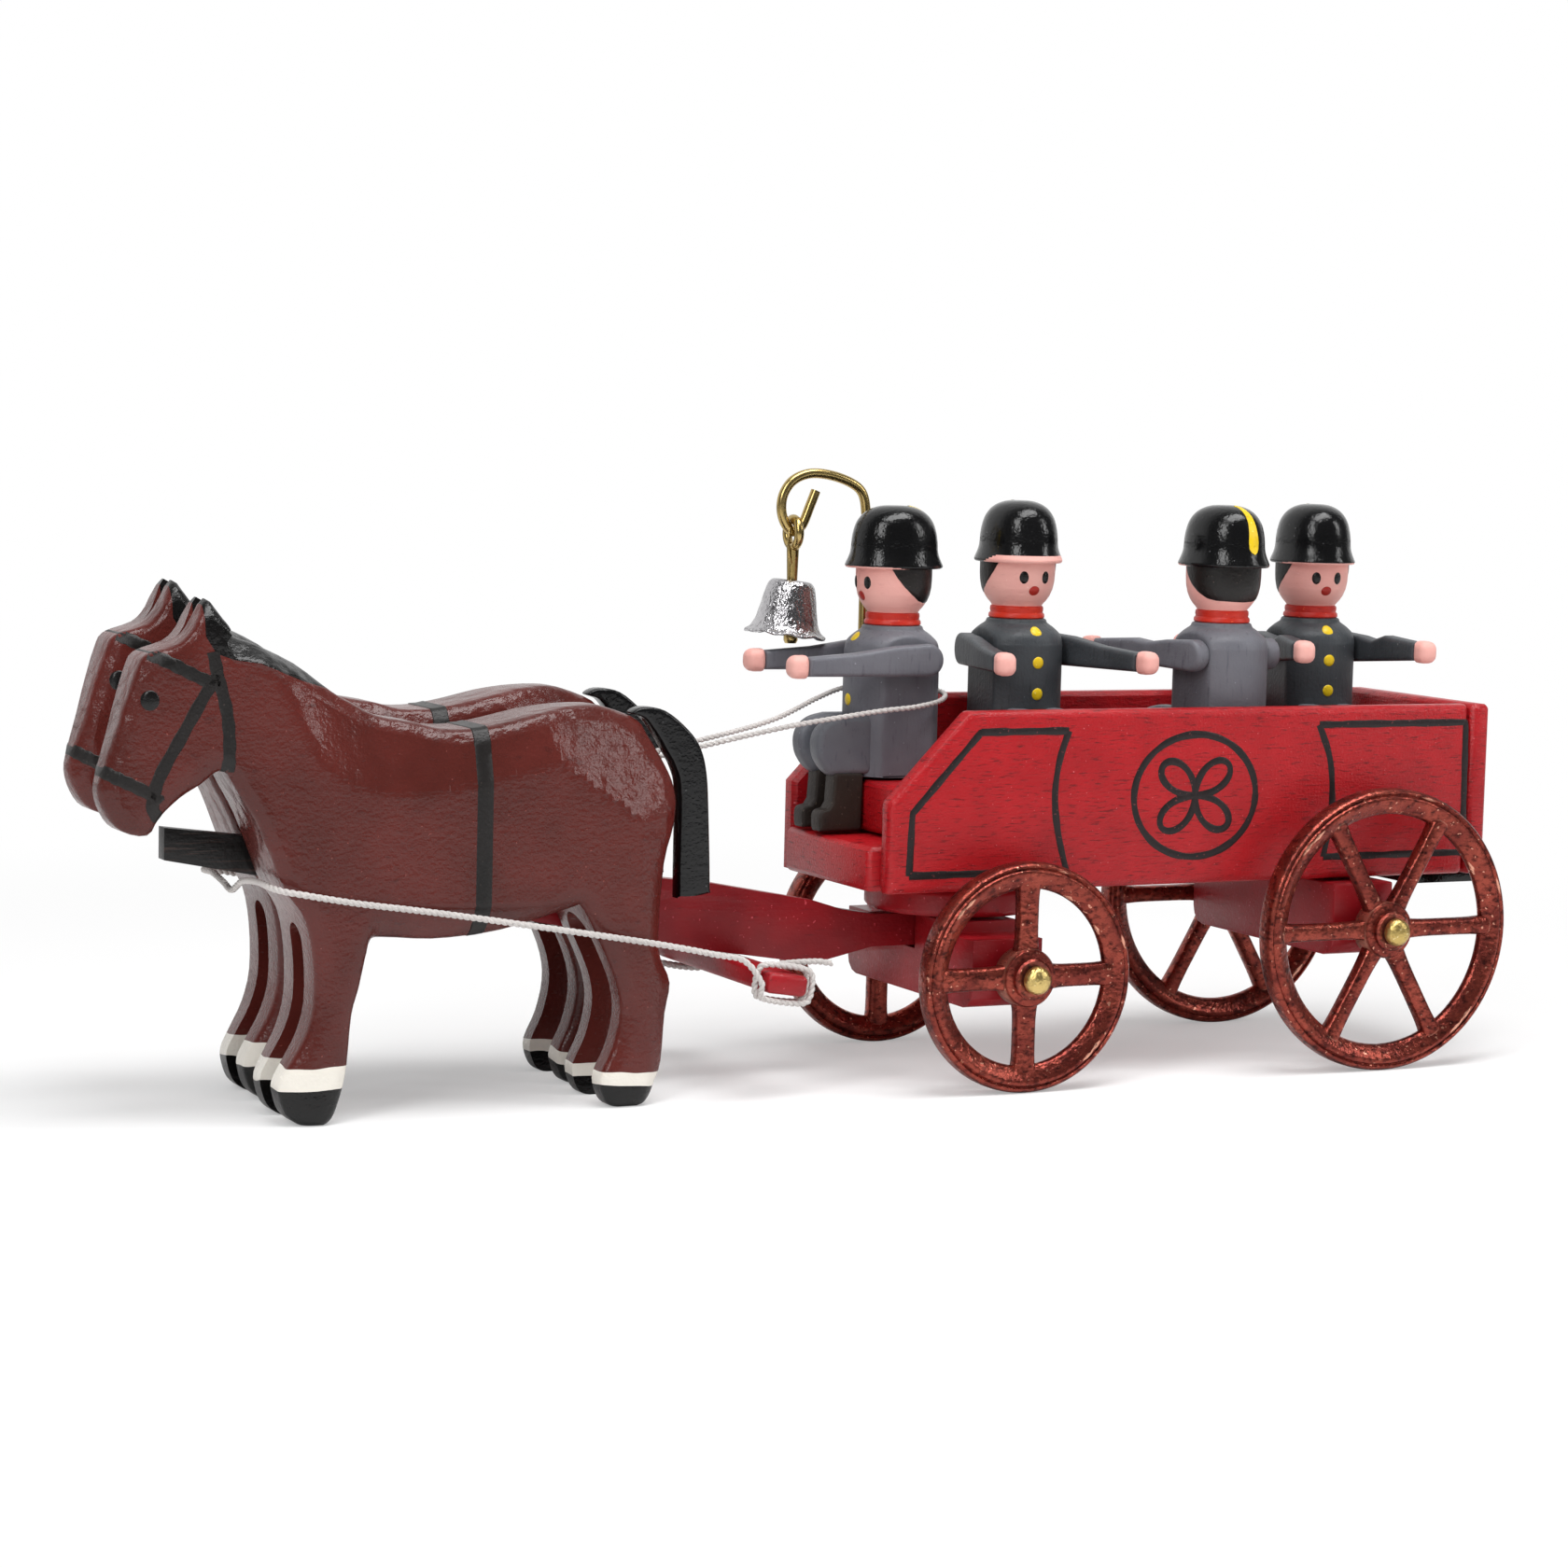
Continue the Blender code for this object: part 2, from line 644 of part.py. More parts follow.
def front_x(reach):
    """Returns the X of a place that lies ahead of the front axle."""
    return FRONT_AXLE_X - reach


def side_outline():
    """Returns the outline of a side board, slanted at the front."""
    return (
        (BODY_FRONT_X, BODY_BOTTOM), (SIDE_REAR_X, BODY_BOTTOM), (SIDE_REAR_X, BODY_TOP),
        (BODY_FRONT_X + SLANT_LENGTH, BODY_TOP), (BODY_FRONT_X, BODY_TOP - SLANT_DROP),
    )


def wagon_body():
    """Builds the boards, seats and step of the wagon."""
    for name, side in (("side_board_near", -1), ("side_board_far", 1)):
        middle = side * (BODY_HALF_WIDTH - BOARD_THICKNESS / 2)
        board = plate_mesh(side_outline(), BOARD_THICKNESS, "Y", middle, EDGE_ROUND)
        panel = add_object(name, board, red_paint())
        if side > 0:
            post_x = front_x(HOOK_POST_REACH)
            hole = rod_mesh(HOOK_WIRE_RADIUS + GAP, (post_x, hook_y(), BODY_TOP - HOOK_SINK - GAP),
                            (post_x, hook_y(), BODY_TOP + TRIM), SMALL_SIDES)
            combine(panel, hole, "DIFFERENCE")
    inner = INNER_FACE_Y - GAP
    floor = box_mesh((BODY_FRONT_X - FOOTBOARD_PROJECTION, -inner, BODY_BOTTOM),
                     (SIDE_REAR_X, inner, FLOOR_TOP), EDGE_ROUND)
    floor = add_object("floor_board", floor, red_paint())
    combine(floor, pin_hole(GAP), "DIFFERENCE")
    tail = box_mesh((BODY_REAR_X - REAR_BOARD_THICKNESS, -BODY_HALF_WIDTH, BODY_BOTTOM),
                    (BODY_REAR_X, BODY_HALF_WIDTH, BODY_TOP), EDGE_ROUND)
    add_object("rear_board", tail, red_paint())
    seat = box_mesh((SEAT_FRONT_X, -inner, FLOOR_TOP + GAP),
                    (SEAT_FRONT_X + SEAT_DEPTH, inner, SEAT_TOP), EDGE_ROUND)
    add_object("driver_seat", seat, red_paint())
    for name, side in (("bench_near", -1), ("bench_far", 1)):
        low, high = sorted((side * inner, side * (inner - BENCH_WIDTH)))
        bench = box_mesh((BENCH_FRONT_X, low, FLOOR_TOP + GAP),
                         (SIDE_REAR_X - GAP, high, BENCH_TOP), EDGE_ROUND)
        add_object(name, bench, red_paint())
    rear_step()


def rear_step():
    """Builds the black step under the tail, with its raised rear edge."""
    top = BODY_BOTTOM - GAP
    rear = BODY_REAR_X + STEP_PROJECTION
    front = BODY_REAR_X - STEP_UNDERLAP
    lip = rear - STEP_THICKNESS
    outline = (
        (front, top - STEP_THICKNESS), (rear, top - STEP_THICKNESS),
        (rear, top + STEP_LIP_HEIGHT), (lip, top + STEP_LIP_HEIGHT), (lip, top), (front, top),
    )
    add_object("rear_step", plate_mesh(outline, 2 * STEP_HALF_WIDTH, "Y"), black_paint())


def bolster_outline(bottom, top, end_drop, middle):
    """Returns a bolster's outline from the front, with its lower corners rounded."""
    half = BOLSTER_HALF_LENGTH
    corner = BOLSTER_CORNER
    right = arc((half - corner, bottom + corner), corner, -90.0, 0.0, 4)
    right.append((half, top - end_drop))
    if end_drop > 0.0:
        right.append((middle, top - end_drop))
        right.append((middle, top))
    left = [(-across, up) for across, up in reversed(right)]
    return right + left


def nail_hole(axle_x, axle_z, side, radius):
    """Returns the hole that a wheel's nail is driven into."""
    inner = side * (BOLSTER_HALF_LENGTH - NAIL_DEPTH - GAP)
    outer = side * (BOLSTER_HALF_LENGTH + TRIM)
    return rod_mesh(radius, (axle_x, inner, axle_z), (axle_x, outer, axle_z), SMALL_SIDES)


def pin_hole(clearance):
    """Returns the hole round the steering pin, as high as the pin goes."""
    top = BODY_BOTTOM + PIN_GRIP + GAP
    bottom = FRONT_BOLSTER_BOTTOM - TRIM
    return rod_mesh(PIN_RADIUS + clearance, (FRONT_AXLE_X, 0.0, bottom), (FRONT_AXLE_X, 0.0, top))


def bolsters():
    """Builds the fixed rear bolster and the front bolster that steers."""
    outline = bolster_outline(REAR_BOLSTER_BOTTOM, BODY_BOTTOM - GAP, 0.0, 0.0)
    depth = REAR_BOLSTER_FRONT + REAR_BOLSTER_REAR
    middle = REAR_AXLE_X + (REAR_BOLSTER_REAR - REAR_BOLSTER_FRONT) / 2
    rear = add_object("rear_bolster", plate_mesh(outline, depth, "X", middle), red_paint())
    outline = bolster_outline(FRONT_BOLSTER_BOTTOM, FRONT_BOLSTER_TOP, FRONT_BOLSTER_END_DROP,
                              FRONT_BOLSTER_MIDDLE)
    depth = FRONT_BOLSTER_FRONT + FRONT_BOLSTER_REAR
    middle = FRONT_AXLE_X + (FRONT_BOLSTER_REAR - FRONT_BOLSTER_FRONT) / 2
    front = add_object("front_bolster", plate_mesh(outline, depth, "X", middle), red_paint())
    for side in (-1, 1):
        for bolster, axle_x, axle_z in ((rear, REAR_AXLE_X, REAR_WHEEL_RADIUS),
                                        (front, FRONT_AXLE_X, FRONT_WHEEL_RADIUS)):
            combine(bolster, nail_hole(axle_x, axle_z, side, NAIL_RADIUS + GAP), "DIFFERENCE")
    slot = box_mesh((front_x(FRONT_BOLSTER_FRONT) - TRIM, -POLE_HALF_THICKNESS - GAP,
                     POLE_TAIL_BOTTOM - GAP),
                    (front_x(FRONT_BOLSTER_FRONT) + POLE_TENON + GAP, POLE_HALF_THICKNESS + GAP,
                     FRONT_BOLSTER_TOP + TRIM))
    combine(front, slot, "DIFFERENCE")
    combine(front, pin_hole(RUN_GAP), "DIFFERENCE")


def turntable():
    """Builds the disc under the floor and the headed pin that the front bolster steers on."""
    disc = turned_mesh([(0.0, DISC_TOP), (DISC_RADIUS - TRIM, DISC_TOP),
                        (DISC_RADIUS, DISC_TOP - TRIM), (DISC_RADIUS, DISC_BOTTOM + TRIM),
                        (DISC_RADIUS - TRIM, DISC_BOTTOM), (0.0, DISC_BOTTOM)], DISC_SIDES)
    disc = add_object("turntable_disc", moved(disc, FRONT_AXLE_X), red_paint())
    combine(disc, pin_hole(GAP), "DIFFERENCE")
    head_top = FRONT_BOLSTER_BOTTOM - GAP
    head_bottom = head_top - PIN_HEAD_HEIGHT
    pin = turned_mesh([(0.0, BODY_BOTTOM + PIN_GRIP), (PIN_RADIUS, BODY_BOTTOM + PIN_GRIP),
                       (PIN_RADIUS, head_top), (PIN_HEAD_RADIUS, head_top),
                       (PIN_HEAD_RADIUS * PIN_HEAD_TAPER, head_bottom), (0.0, head_bottom)],
                      ROUND_SIDES)
    add_object("steering_pin", moved(pin, FRONT_AXLE_X), brass())


def axle_nails():
    """Builds the four domed nails that the wheels turn on."""
    head = HUB_OUTER_Y + GAP
    point = BOLSTER_HALF_LENGTH - NAIL_DEPTH
    dome = [(NAIL_HEAD_RADIUS * across, head + NAIL_EDGE + (NAIL_HEAD_HEIGHT - NAIL_EDGE) * up)
            for across, up in arc((0.0, 0.0), 1.0, 90.0, 0.0, 4)]
    stem = [(NAIL_HEAD_RADIUS, head), (NAIL_RADIUS, head), (NAIL_RADIUS, point), (0.0, point)]
    nail = turned_mesh(dome + stem, SMALL_SIDES)
    for axle, axle_x, axle_z in (("front", FRONT_AXLE_X, FRONT_WHEEL_RADIUS),
                                 ("rear", REAR_AXLE_X, REAR_WHEEL_RADIUS)):
        for side, sign in (("near", -1), ("far", 1)):
            thing = add_object(axle + "_nail_" + side, nail, brass())
            thing.location = (axle_x, 0.0, axle_z)
            thing.rotation_euler = (sign * math.radians(-90.0), 0.0, 0.0)


def wheel_mesh(radius, spokes, spoke_width, steps):
    """Returns a wheel about the Y axis, with the outer end of its hub towards -Y."""
    rim = [(radius - RIM_DEPTH * deep, -RIM_HALF_WIDTH * wide) for deep, wide in RIM_SECTION]
    rim += [(across, -along) for across, along in reversed(rim)]
    wheel = add_object("wheel", turned_mesh(rim, steps, closed=True), copper())
    outer = HUB_OUTER_Y - WHEEL_PLANE_Y
    hub_inner = WHEEL_PLANE_Y - BOLSTER_HALF_LENGTH - GAP
    bore = NAIL_RADIUS + RUN_GAP
    hub = [(bore, outer), (BOSS_RADIUS - HUB_EDGE, outer), (BOSS_RADIUS, outer - HUB_EDGE),
           (BOSS_RADIUS, HUB_HALF_LENGTH), (HUB_RADIUS, HUB_HALF_LENGTH - HUB_EDGE),
           (HUB_RADIUS, -HUB_HALF_LENGTH), (BOSS_RADIUS, -HUB_HALF_LENGTH), (BOSS_RADIUS, -hub_inner),
           (bore, -hub_inner)]
    combine(wheel, turned_mesh(hub, ROUND_SIDES, closed=True), "UNION")
    for i in range(spokes):
        spoke = box_mesh((HUB_RADIUS - SPOKE_ROOT, -spoke_width / 2, -SPOKE_THICKNESS / 2),
                         (radius - RIM_DEPTH + SPOKE_SINK, spoke_width / 2, SPOKE_THICKNESS / 2))
        spoke.transform(Matrix.Rotation(2 * math.pi * i / spokes, 4, "Z"))
        combine(wheel, spoke, "UNION")
    mesh = evaluated_mesh(wheel)
    for tool in [modifier.object for modifier in wheel.modifiers]:
        bpy.data.objects.remove(tool, do_unlink=True)
    bpy.data.objects.remove(wheel, do_unlink=True)
    mesh.transform(Matrix.Rotation(math.radians(90.0), 4, "X"))
    shade(mesh)
    return mesh


def wheels():
    """Builds the four wheels, each with its origin on its own axle."""
    rear = wheel_mesh(REAR_WHEEL_RADIUS, REAR_SPOKES, REAR_SPOKE_WIDTH, REAR_RIM_STEPS)
    front = wheel_mesh(FRONT_WHEEL_RADIUS, FRONT_SPOKES, FRONT_SPOKE_WIDTH, FRONT_RIM_STEPS)
    for name, mesh, axle_x, radius in (("rear_wheel", rear, REAR_AXLE_X, REAR_WHEEL_RADIUS),
                                       ("front_wheel", front, FRONT_AXLE_X, FRONT_WHEEL_RADIUS)):
        for side, turn in (("near", 0.0), ("far", math.pi)):
            wheel = add_object(name + "_" + side, mesh, copper())
            wheel.location = (axle_x, WHEEL_PLANE_Y * (-1 if side == "near" else 1), radius)
            wheel.rotation_euler = (0.0, 0.0, turn)


def pole_outline():
    """Returns the pole's side outline, deep over the swingletree and thin under the disc."""
    front = front_x(NOSE_REACH - POLE_SETBACK)
    end = front_x(FRONT_BOLSTER_FRONT) + POLE_TENON
    shoulder = front_x(POLE_SHOULDER_REACH)
    belly = front_x(POLE_BELLY_REACH)
    under_disc = front_x(DISC_RADIUS + TRIM)
    waist = under_disc - POLE_WAIST_LENGTH
    return (
        (front, POLE_FRONT_BOTTOM), (shoulder, POLE_SHOULDER_BOTTOM), (belly, POLE_BELLY_BOTTOM),
        (under_disc, POLE_TAIL_BOTTOM), (end, POLE_TAIL_BOTTOM), (end, FRONT_BOLSTER_TOP),
        (under_disc, FRONT_BOLSTER_TOP), (waist, FRONT_BOLSTER_TOP + POLE_WAIST_RISE),
        (belly, FRONT_BOLSTER_TOP + POLE_BELLY_RISE), (shoulder, POLE_SHOULDER_TOP),
        (front, POLE_FRONT_TOP),
    )


def pole_line(reach, top):
    """Returns the height of the pole's tapered front stretch at a reach ahead of the axle."""
    far = NOSE_REACH - POLE_SETBACK
    share = (reach - POLE_SHOULDER_REACH) / (far - POLE_SHOULDER_REACH)
    if top:
        return POLE_SHOULDER_TOP + share * (POLE_FRONT_TOP - POLE_SHOULDER_TOP)
    return POLE_SHOULDER_BOTTOM + share * (POLE_FRONT_BOTTOM - POLE_SHOULDER_BOTTOM)


def peg_places():
    """Returns where the pegs pass through the pole, halfway up it."""
    return [(front_x(reach), (pole_line(reach, True) + pole_line(reach, False)) / 2)
            for reach in PEG_REACHES]


def swingletree_place():
    """Returns the slope of the pole's belly and the height of the swingletree under it."""
    rise = POLE_SHOULDER_BOTTOM - POLE_BELLY_BOTTOM
    run = POLE_SHOULDER_REACH - POLE_BELLY_REACH
    slope = math.atan2(rise, run)
    belly = POLE_BELLY_BOTTOM + rise * (SWINGLETREE_REACH - POLE_BELLY_REACH) / run
    return slope, belly - (GAP + SWINGLETREE_HEIGHT / 2) / math.cos(slope)


def draught_gear():
    """Builds the pole, the swingletree under it and the pegs that hold the horses to it."""
    outline = plate_mesh(pole_outline(), 2 * POLE_HALF_THICKNESS, "Y")
    pole = add_object("pole", outline, red_paint())
    span = POLE_HALF_THICKNESS + TRIM
    for x, z in peg_places():
        hole = rod_mesh(PEG_RADIUS + GAP, (x, -span, z), (x, span, z), SMALL_SIDES)
        combine(pole, hole, "DIFFERENCE")
    for reach in REIN_HOLES:
        top = pole_line(reach, True)
        hole = rod_mesh(THREAD_RADIUS + GAP, (front_x(reach), 0.0, top - REIN_HOLE_DEPTH),
                        (front_x(reach), 0.0, top + TRIM), SMALL_SIDES)
        combine(pole, hole, "DIFFERENCE")
    slope, height = swingletree_place()
    bar = box_mesh((-SWINGLETREE_DEPTH / 2, -SWINGLETREE_HALF_LENGTH, -SWINGLETREE_HEIGHT / 2),
                   (SWINGLETREE_DEPTH / 2, SWINGLETREE_HALF_LENGTH, SWINGLETREE_HEIGHT / 2),
                   EDGE_ROUND)
    bar.transform(Matrix.Rotation(slope, 4, "Y"))
    add_object("swingletree", moved(bar, front_x(SWINGLETREE_REACH), 0.0, height), red_paint())
    reach = HORSE_CENTRE_Y - HORSE_HALF_THICKNESS + PEG_DEPTH
    for name, (x, z) in zip(("horse_peg_front", "horse_peg_rear"), peg_places()):
        peg = rod_mesh(PEG_RADIUS, (x, -reach, z), (x, reach, z), SMALL_SIDES)
        add_object(name, peg, plain_wood())


def read_curve(knots, at):
    """Returns the value at a place on straight lines between (place, value) knots."""
    if at <= knots[0][0]:
        return knots[0][1]
    for (start, low), (end, high) in zip(knots, knots[1:]):
        if at <= end:
            return low + (high - low) * (at - start) / (end - start)
    return knots[-1][1]


def sawn_horse():
    """Returns a horse sawn from a block, chamfered, then pinched in towards its head and back.

    Its nose is at X = 0 and its middle plane at Y = 0.
    """
    mesh = plate_mesh(HORSE_OUTLINE, 2 * HORSE_HALF_THICKNESS, "Y", 0.0, HORSE_CHAMFER)
    work = bmesh.new()
    work.from_mesh(mesh)
    bmesh.ops.triangulate(work, faces=work.faces[:])
    for place, _ in HORSE_WIDTH_BY_REACH[1:-1]:
        bmesh.ops.bisect_plane(work, geom=work.verts[:] + work.edges[:] + work.faces[:],
                               plane_co=(place, 0.0, 0.0), plane_no=(1.0, 0.0, 0.0))
    for height, _ in HORSE_WIDTH_BY_HEIGHT[1:-1]:
        bmesh.ops.bisect_plane(work, geom=work.verts[:] + work.edges[:] + work.faces[:],
                               plane_co=(0.0, 0.0, height), plane_no=(0.0, 0.0, 1.0))
    bmesh.ops.triangulate(work, faces=work.faces[:])
    for vert in work.verts:
        width = min(read_curve(HORSE_WIDTH_BY_REACH, vert.co.x),
                    read_curve(HORSE_WIDTH_BY_HEIGHT, vert.co.z))
        vert.co.y *= width / HORSE_HALF_THICKNESS
    work.to_mesh(mesh)
    work.free()
    return mesh


def horse_mesh(side, stretch):
    """Returns a horse with its legs parted, its ears notched and holes for its pegs.

    The side is -1 for the near horse and 1 for the far one, and the stretch makes it taller.
    """
    mesh = sawn_horse()
    mesh.transform(Matrix.Diagonal((1.0, 1.0, stretch, 1.0)))
    setback = FAR_HORSE_SETBACK if side > 0 else 0.0
    nose = front_x(NOSE_REACH) + setback
    body = add_object("horse", moved(mesh, nose), horse_paint())
    below = -TRIM
    fore = box_mesh((nose, -FORE_SLOT_HALF, below), (nose + FORE_SLOT_REAR, FORE_SLOT_HALF, SLOT_TOP))
    combine(body, fore, "DIFFERENCE")
    hind = box_mesh((nose + HIND_SLOT_FRONT, -HIND_SLOT_HALF, below),
                    (nose + TAIL_REACH, HIND_SLOT_HALF, SLOT_TOP))
    combine(body, hind, "DIFFERENCE")
    ear_x, ear_top = HORSE_OUTLINE[0]
    ear_top = ear_top * stretch + TRIM
    notch = plate_mesh(((-EAR_NOTCH_HALF, ear_top), (0.0, ear_top - EAR_NOTCH_DEPTH),
                        (EAR_NOTCH_HALF, ear_top)), EAR_NOTCH_LENGTH, "X", nose + ear_x)
    combine(body, notch, "DIFFERENCE")
    inner = -side * (HORSE_HALF_THICKNESS + TRIM)
    deep = -side * (HORSE_HALF_THICKNESS - PEG_DEPTH - GAP)
    for x, z in peg_places():
        hole = rod_mesh(PEG_RADIUS + GAP, (x, inner, z), (x, deep, z), SMALL_SIDES)
        combine(body, hole, "DIFFERENCE")
    mesh = evaluated_mesh(body)
    for tool in [modifier.object for modifier in body.modifiers]:
        bpy.data.objects.remove(tool, do_unlink=True)
    bpy.data.objects.remove(body, do_unlink=True)
    shade(mesh, 25.0)
    return mesh


def horses():
    """Builds both horses and their tails."""
    for name, side in (("near", -1), ("far", 1)):
        stretch = FAR_HORSE_STRETCH if side > 0 else 1.0
        nose = front_x(NOSE_REACH) + (FAR_HORSE_SETBACK if side > 0 else 0.0)
        middle = side * HORSE_CENTRE_Y
        horse = add_object("horse_" + name, horse_mesh(side, stretch), horse_paint())
        horse.location = (0.0, middle, 0.0)
        tail = [(nose + along, up * stretch) for along, up in TAIL_OUTLINE]
        strip = plate_mesh(tail, 2 * TAIL_HALF_THICKNESS, "Y", middle)
        add_object("tail_" + name, strip, black_paint())


def winding(side):
    """Returns the turns of thread round one end of the swingletree, from its tail outwards.

    They follow a rectangle with round corners, the fourth-power oval, tilted with the bar.
    """
    slope, height = swingletree_place()
    across = SWINGLETREE_DEPTH / 2 + THREAD_RADIUS + GAP + WINDING_ROOM
    up = SWINGLETREE_HEIGHT / 2 + THREAD_RADIUS + GAP + WINDING_ROOM
    count = round(WINDING_TURNS * WINDING_POINTS)
    places = []
    for i in range(count + 1):
        angle = math.radians(90.0) - 2 * math.pi * i / WINDING_POINTS
        x = across * math.copysign(abs(math.cos(angle)) ** 0.5, math.cos(angle))
        z = up * math.copysign(abs(math.sin(angle)) ** 0.5, math.sin(angle))
        turned = Matrix.Rotation(slope, 3, "Y") @ Vector((x, 0.0, z))
        y = side * (WINDING_Y + WINDING_PITCH * i / WINDING_POINTS)
        places.append((front_x(SWINGLETREE_REACH) + turned.x, y, height + turned.z))
    return places


def least_gap(route, radius):
    """Returns the least gap of a tube to itself, between points over six diameters apart."""
    lengths = [0.0]
    for start, end in zip(route, route[1:]):
        lengths.append(lengths[-1] + (end - start).length)
    gap = 1.0
    for i, place in enumerate(route):
        for k in range(i + 1, len(route)):
            if lengths[k] - lengths[i] > 12 * radius:
                gap = min(gap, (route[k] - place).length - 2 * radius)
    return gap


def trace_route():
    """Returns the trace thread's route, from one end of the swingletree to the other."""
    near = [(front_x(reach), y, z) for reach, y, z in TRACE_TAIL] + winding(-1)
    near += [(front_x(reach), y, z) for reach, y, z in TRACE_HALF_ROUTE]
    reach, y, z = TRACE_MIDDLE
    far = [(front_x(reach), -y, z - TRACE_FAR_DROP) for reach, y, z in reversed(TRACE_HALF_ROUTE)]
    far += reversed(winding(1))
    far += [(front_x(reach), -y, z) for reach, y, z in reversed(TRACE_TAIL)]
    return smooth_route(near + [(front_x(reach), 0.0, z)] + far)


def rein_route():
    """Returns the rein thread's route, from the pole round the driver's back to the pole."""
    ends = []
    for reach in REIN_HOLES:
        top = pole_line(reach, True)
        ends.append([(front_x(reach), 0.0, top - REIN_HOLE_DEPTH + GAP),
                     (front_x(reach), 0.0, top + THREAD_RADIUS)])
    middle = REIN_NEAR_ROUTE + REIN_ROUND_BACK + REIN_FAR_ROUTE
    places = [(front_x(reach), y, z) for reach, y, z in middle]
    return smooth_route(ends[0] + places + ends[1][::-1])


def threads():
    """Builds the trace thread and the rein thread along their routes."""
    for name, route in (("trace_thread", trace_route()), ("rein_thread", rein_route())):
        add_object(name, tube_mesh(route, THREAD_RADIUS), thread())
        print(name, "points", len(route), "least gap to itself, mm:",
              round(least_gap(route, THREAD_RADIUS) * 1000, 2))


def hook_y():
    """Returns the Y of the bell hook, in the middle of the far side board."""
    return BODY_HALF_WIDTH - BOARD_THICKNESS / 2


def bell():
    """Builds the wire hook, the bell with its hanger and the clapper."""
    post_x = front_x(HOOK_POST_REACH)
    bend = [(post_x, hook_y(), HOOK_BEND_Z)]
    bend += [(front_x(reach), hook_y(), z) for reach, z in HOOK_ROUTE]
    foot = Vector((post_x, hook_y(), BODY_TOP - HOOK_SINK))
    wire = [foot] + smooth_route(bend, HOOK_STEP)
    add_object("bell_hook", tube_mesh(wire, HOOK_WIRE_RADIUS), brass())

    crown = BELL_TOP - BELL_WALL
    low = BELL_TOP - BELL_HEIGHT
    hole = EYE_WIRE_RADIUS + GAP
    flare = [(BELL_TOP_RADIUS + (BELL_RIM_RADIUS - BELL_TOP_RADIUS) * out,
              BELL_TOP - BELL_HEIGHT * down) for out, down in BELL_FLARE]
    flare.append((BELL_RIM_RADIUS, low))
    outside = [(hole, BELL_TOP), (BELL_TOP_RADIUS, BELL_TOP)] + flare
    inside = [(across - BELL_WALL, min(up, crown)) for across, up in reversed(flare)]
    cup = turned_mesh(outside + inside + [(hole, crown)], BELL_SIDES, closed=True)
    about = Matrix.Translation((0.0, 0.0, BELL_TOP))
    cup.transform(about @ Matrix.Rotation(math.radians(BELL_TILT), 4, "Y") @ about.inverted())
    cup = add_object("bell_cup", cup, silver())
    cup.location = (BELL_X, hook_y(), 0.0)

    eye = turned_mesh([(EYE_RADIUS + EYE_WIRE_RADIUS * across, EYE_WIRE_RADIUS * up)
                       for across, up in arc((0.0, 0.0), 1.0, 90.0, -225.0, 8)],
                      ROUND_SIDES, closed=True)
    eye.transform(Matrix.Rotation(math.radians(90.0), 4, "Y"))
    eye_z = BELL_PIVOT_Z + HOOK_WIRE_RADIUS + GAP + EYE_WIRE_RADIUS - EYE_RADIUS
    hanger = add_object("bell_hanger", moved(eye, 0.0, 0.0, eye_z), brass())
    hanger.location = (BELL_X, hook_y(), 0.0)
    bead_top = crown - GAP
    bead = bead_top - BEAD_HEIGHT
    shank = turned_mesh([(0.0, eye_z - EYE_RADIUS), (EYE_WIRE_RADIUS, eye_z - EYE_RADIUS),
                         (EYE_WIRE_RADIUS, bead_top), (BEAD_RADIUS, bead_top), (BEAD_RADIUS, bead),
                         (0.0, bead)], SMALL_SIDES)
    combine(hanger, shank, "UNION")
    hanger.modifiers[0].object.location = hanger.location

    top = bead - GAP
    bob = top - CLAPPER_LENGTH
    clapper = turned_mesh([(0.0, top), (CLAPPER_ROD_RADIUS, top),
                           (CLAPPER_ROD_RADIUS, bob + CLAPPER_BOB_HEIGHT + CLAPPER_BOB_NECK),
                           (CLAPPER_BOB_RADIUS, bob + CLAPPER_BOB_HEIGHT),
                           (CLAPPER_BOB_RADIUS, bob + CLAPPER_BOB_EDGE),
                           (CLAPPER_BOB_RADIUS * CLAPPER_BOB_TAPER, bob), (0.0, bob)],
                          SMALL_SIDES)
    clapper = add_object("bell_clapper", clapper, brass())
    clapper.location = (BELL_X, hook_y(), 0.0)


def fireman_body():
    """Returns a turned torso, collar and head, notched at the sides for the arms."""
    collar_top = SHOULDER_HEIGHT + COLLAR_HEIGHT
    profile = [(0.0, HEAD_TOP)]
    profile += [(HEAD_RADIUS + swell, HEAD_TOP - depth) for swell, depth in HEAD_SWELL]
    profile += [(COLLAR_RADIUS, collar_top), (COLLAR_RADIUS, SHOULDER_HEIGHT)]
    profile += [(TORSO_RADIUS * share, SHOULDER_HEIGHT - depth) for share, depth in SHOULDER_ROUND]
    profile += [(TORSO_RADIUS, TORSO_EDGE), (TORSO_RADIUS - TORSO_EDGE, 0.0), (0.0, 0.0)]
    return turned_mesh(profile, FIGURE_STEPS)


def fireman_helmet():
    """Returns an oval helmet with a flared brim."""
    base = HEAD_TOP + GAP
    profile = [(0.0, base + HELMET_HEIGHT)]
    brim = base + HELMET_BRIM_HEIGHT
    profile += [(HELMET_DOME_SHARE * across, brim + (HELMET_HEIGHT - HELMET_BRIM_HEIGHT) * up)
                for across, up in arc((0.0, 0.0), 1.0, 68.0, 8.0, 4)]
    profile += [(1.0, brim), (1.0, base + HELMET_BRIM_EDGE), (HELMET_UNDERSIDE_SHARE, base),
                (0.0, base)]
    mesh = turned_mesh(profile, FIGURE_STEPS)
    mesh.transform(Matrix.Diagonal((HELMET_HALF_LENGTH, HELMET_HALF_WIDTH, 1.0, 1.0)))
    return mesh


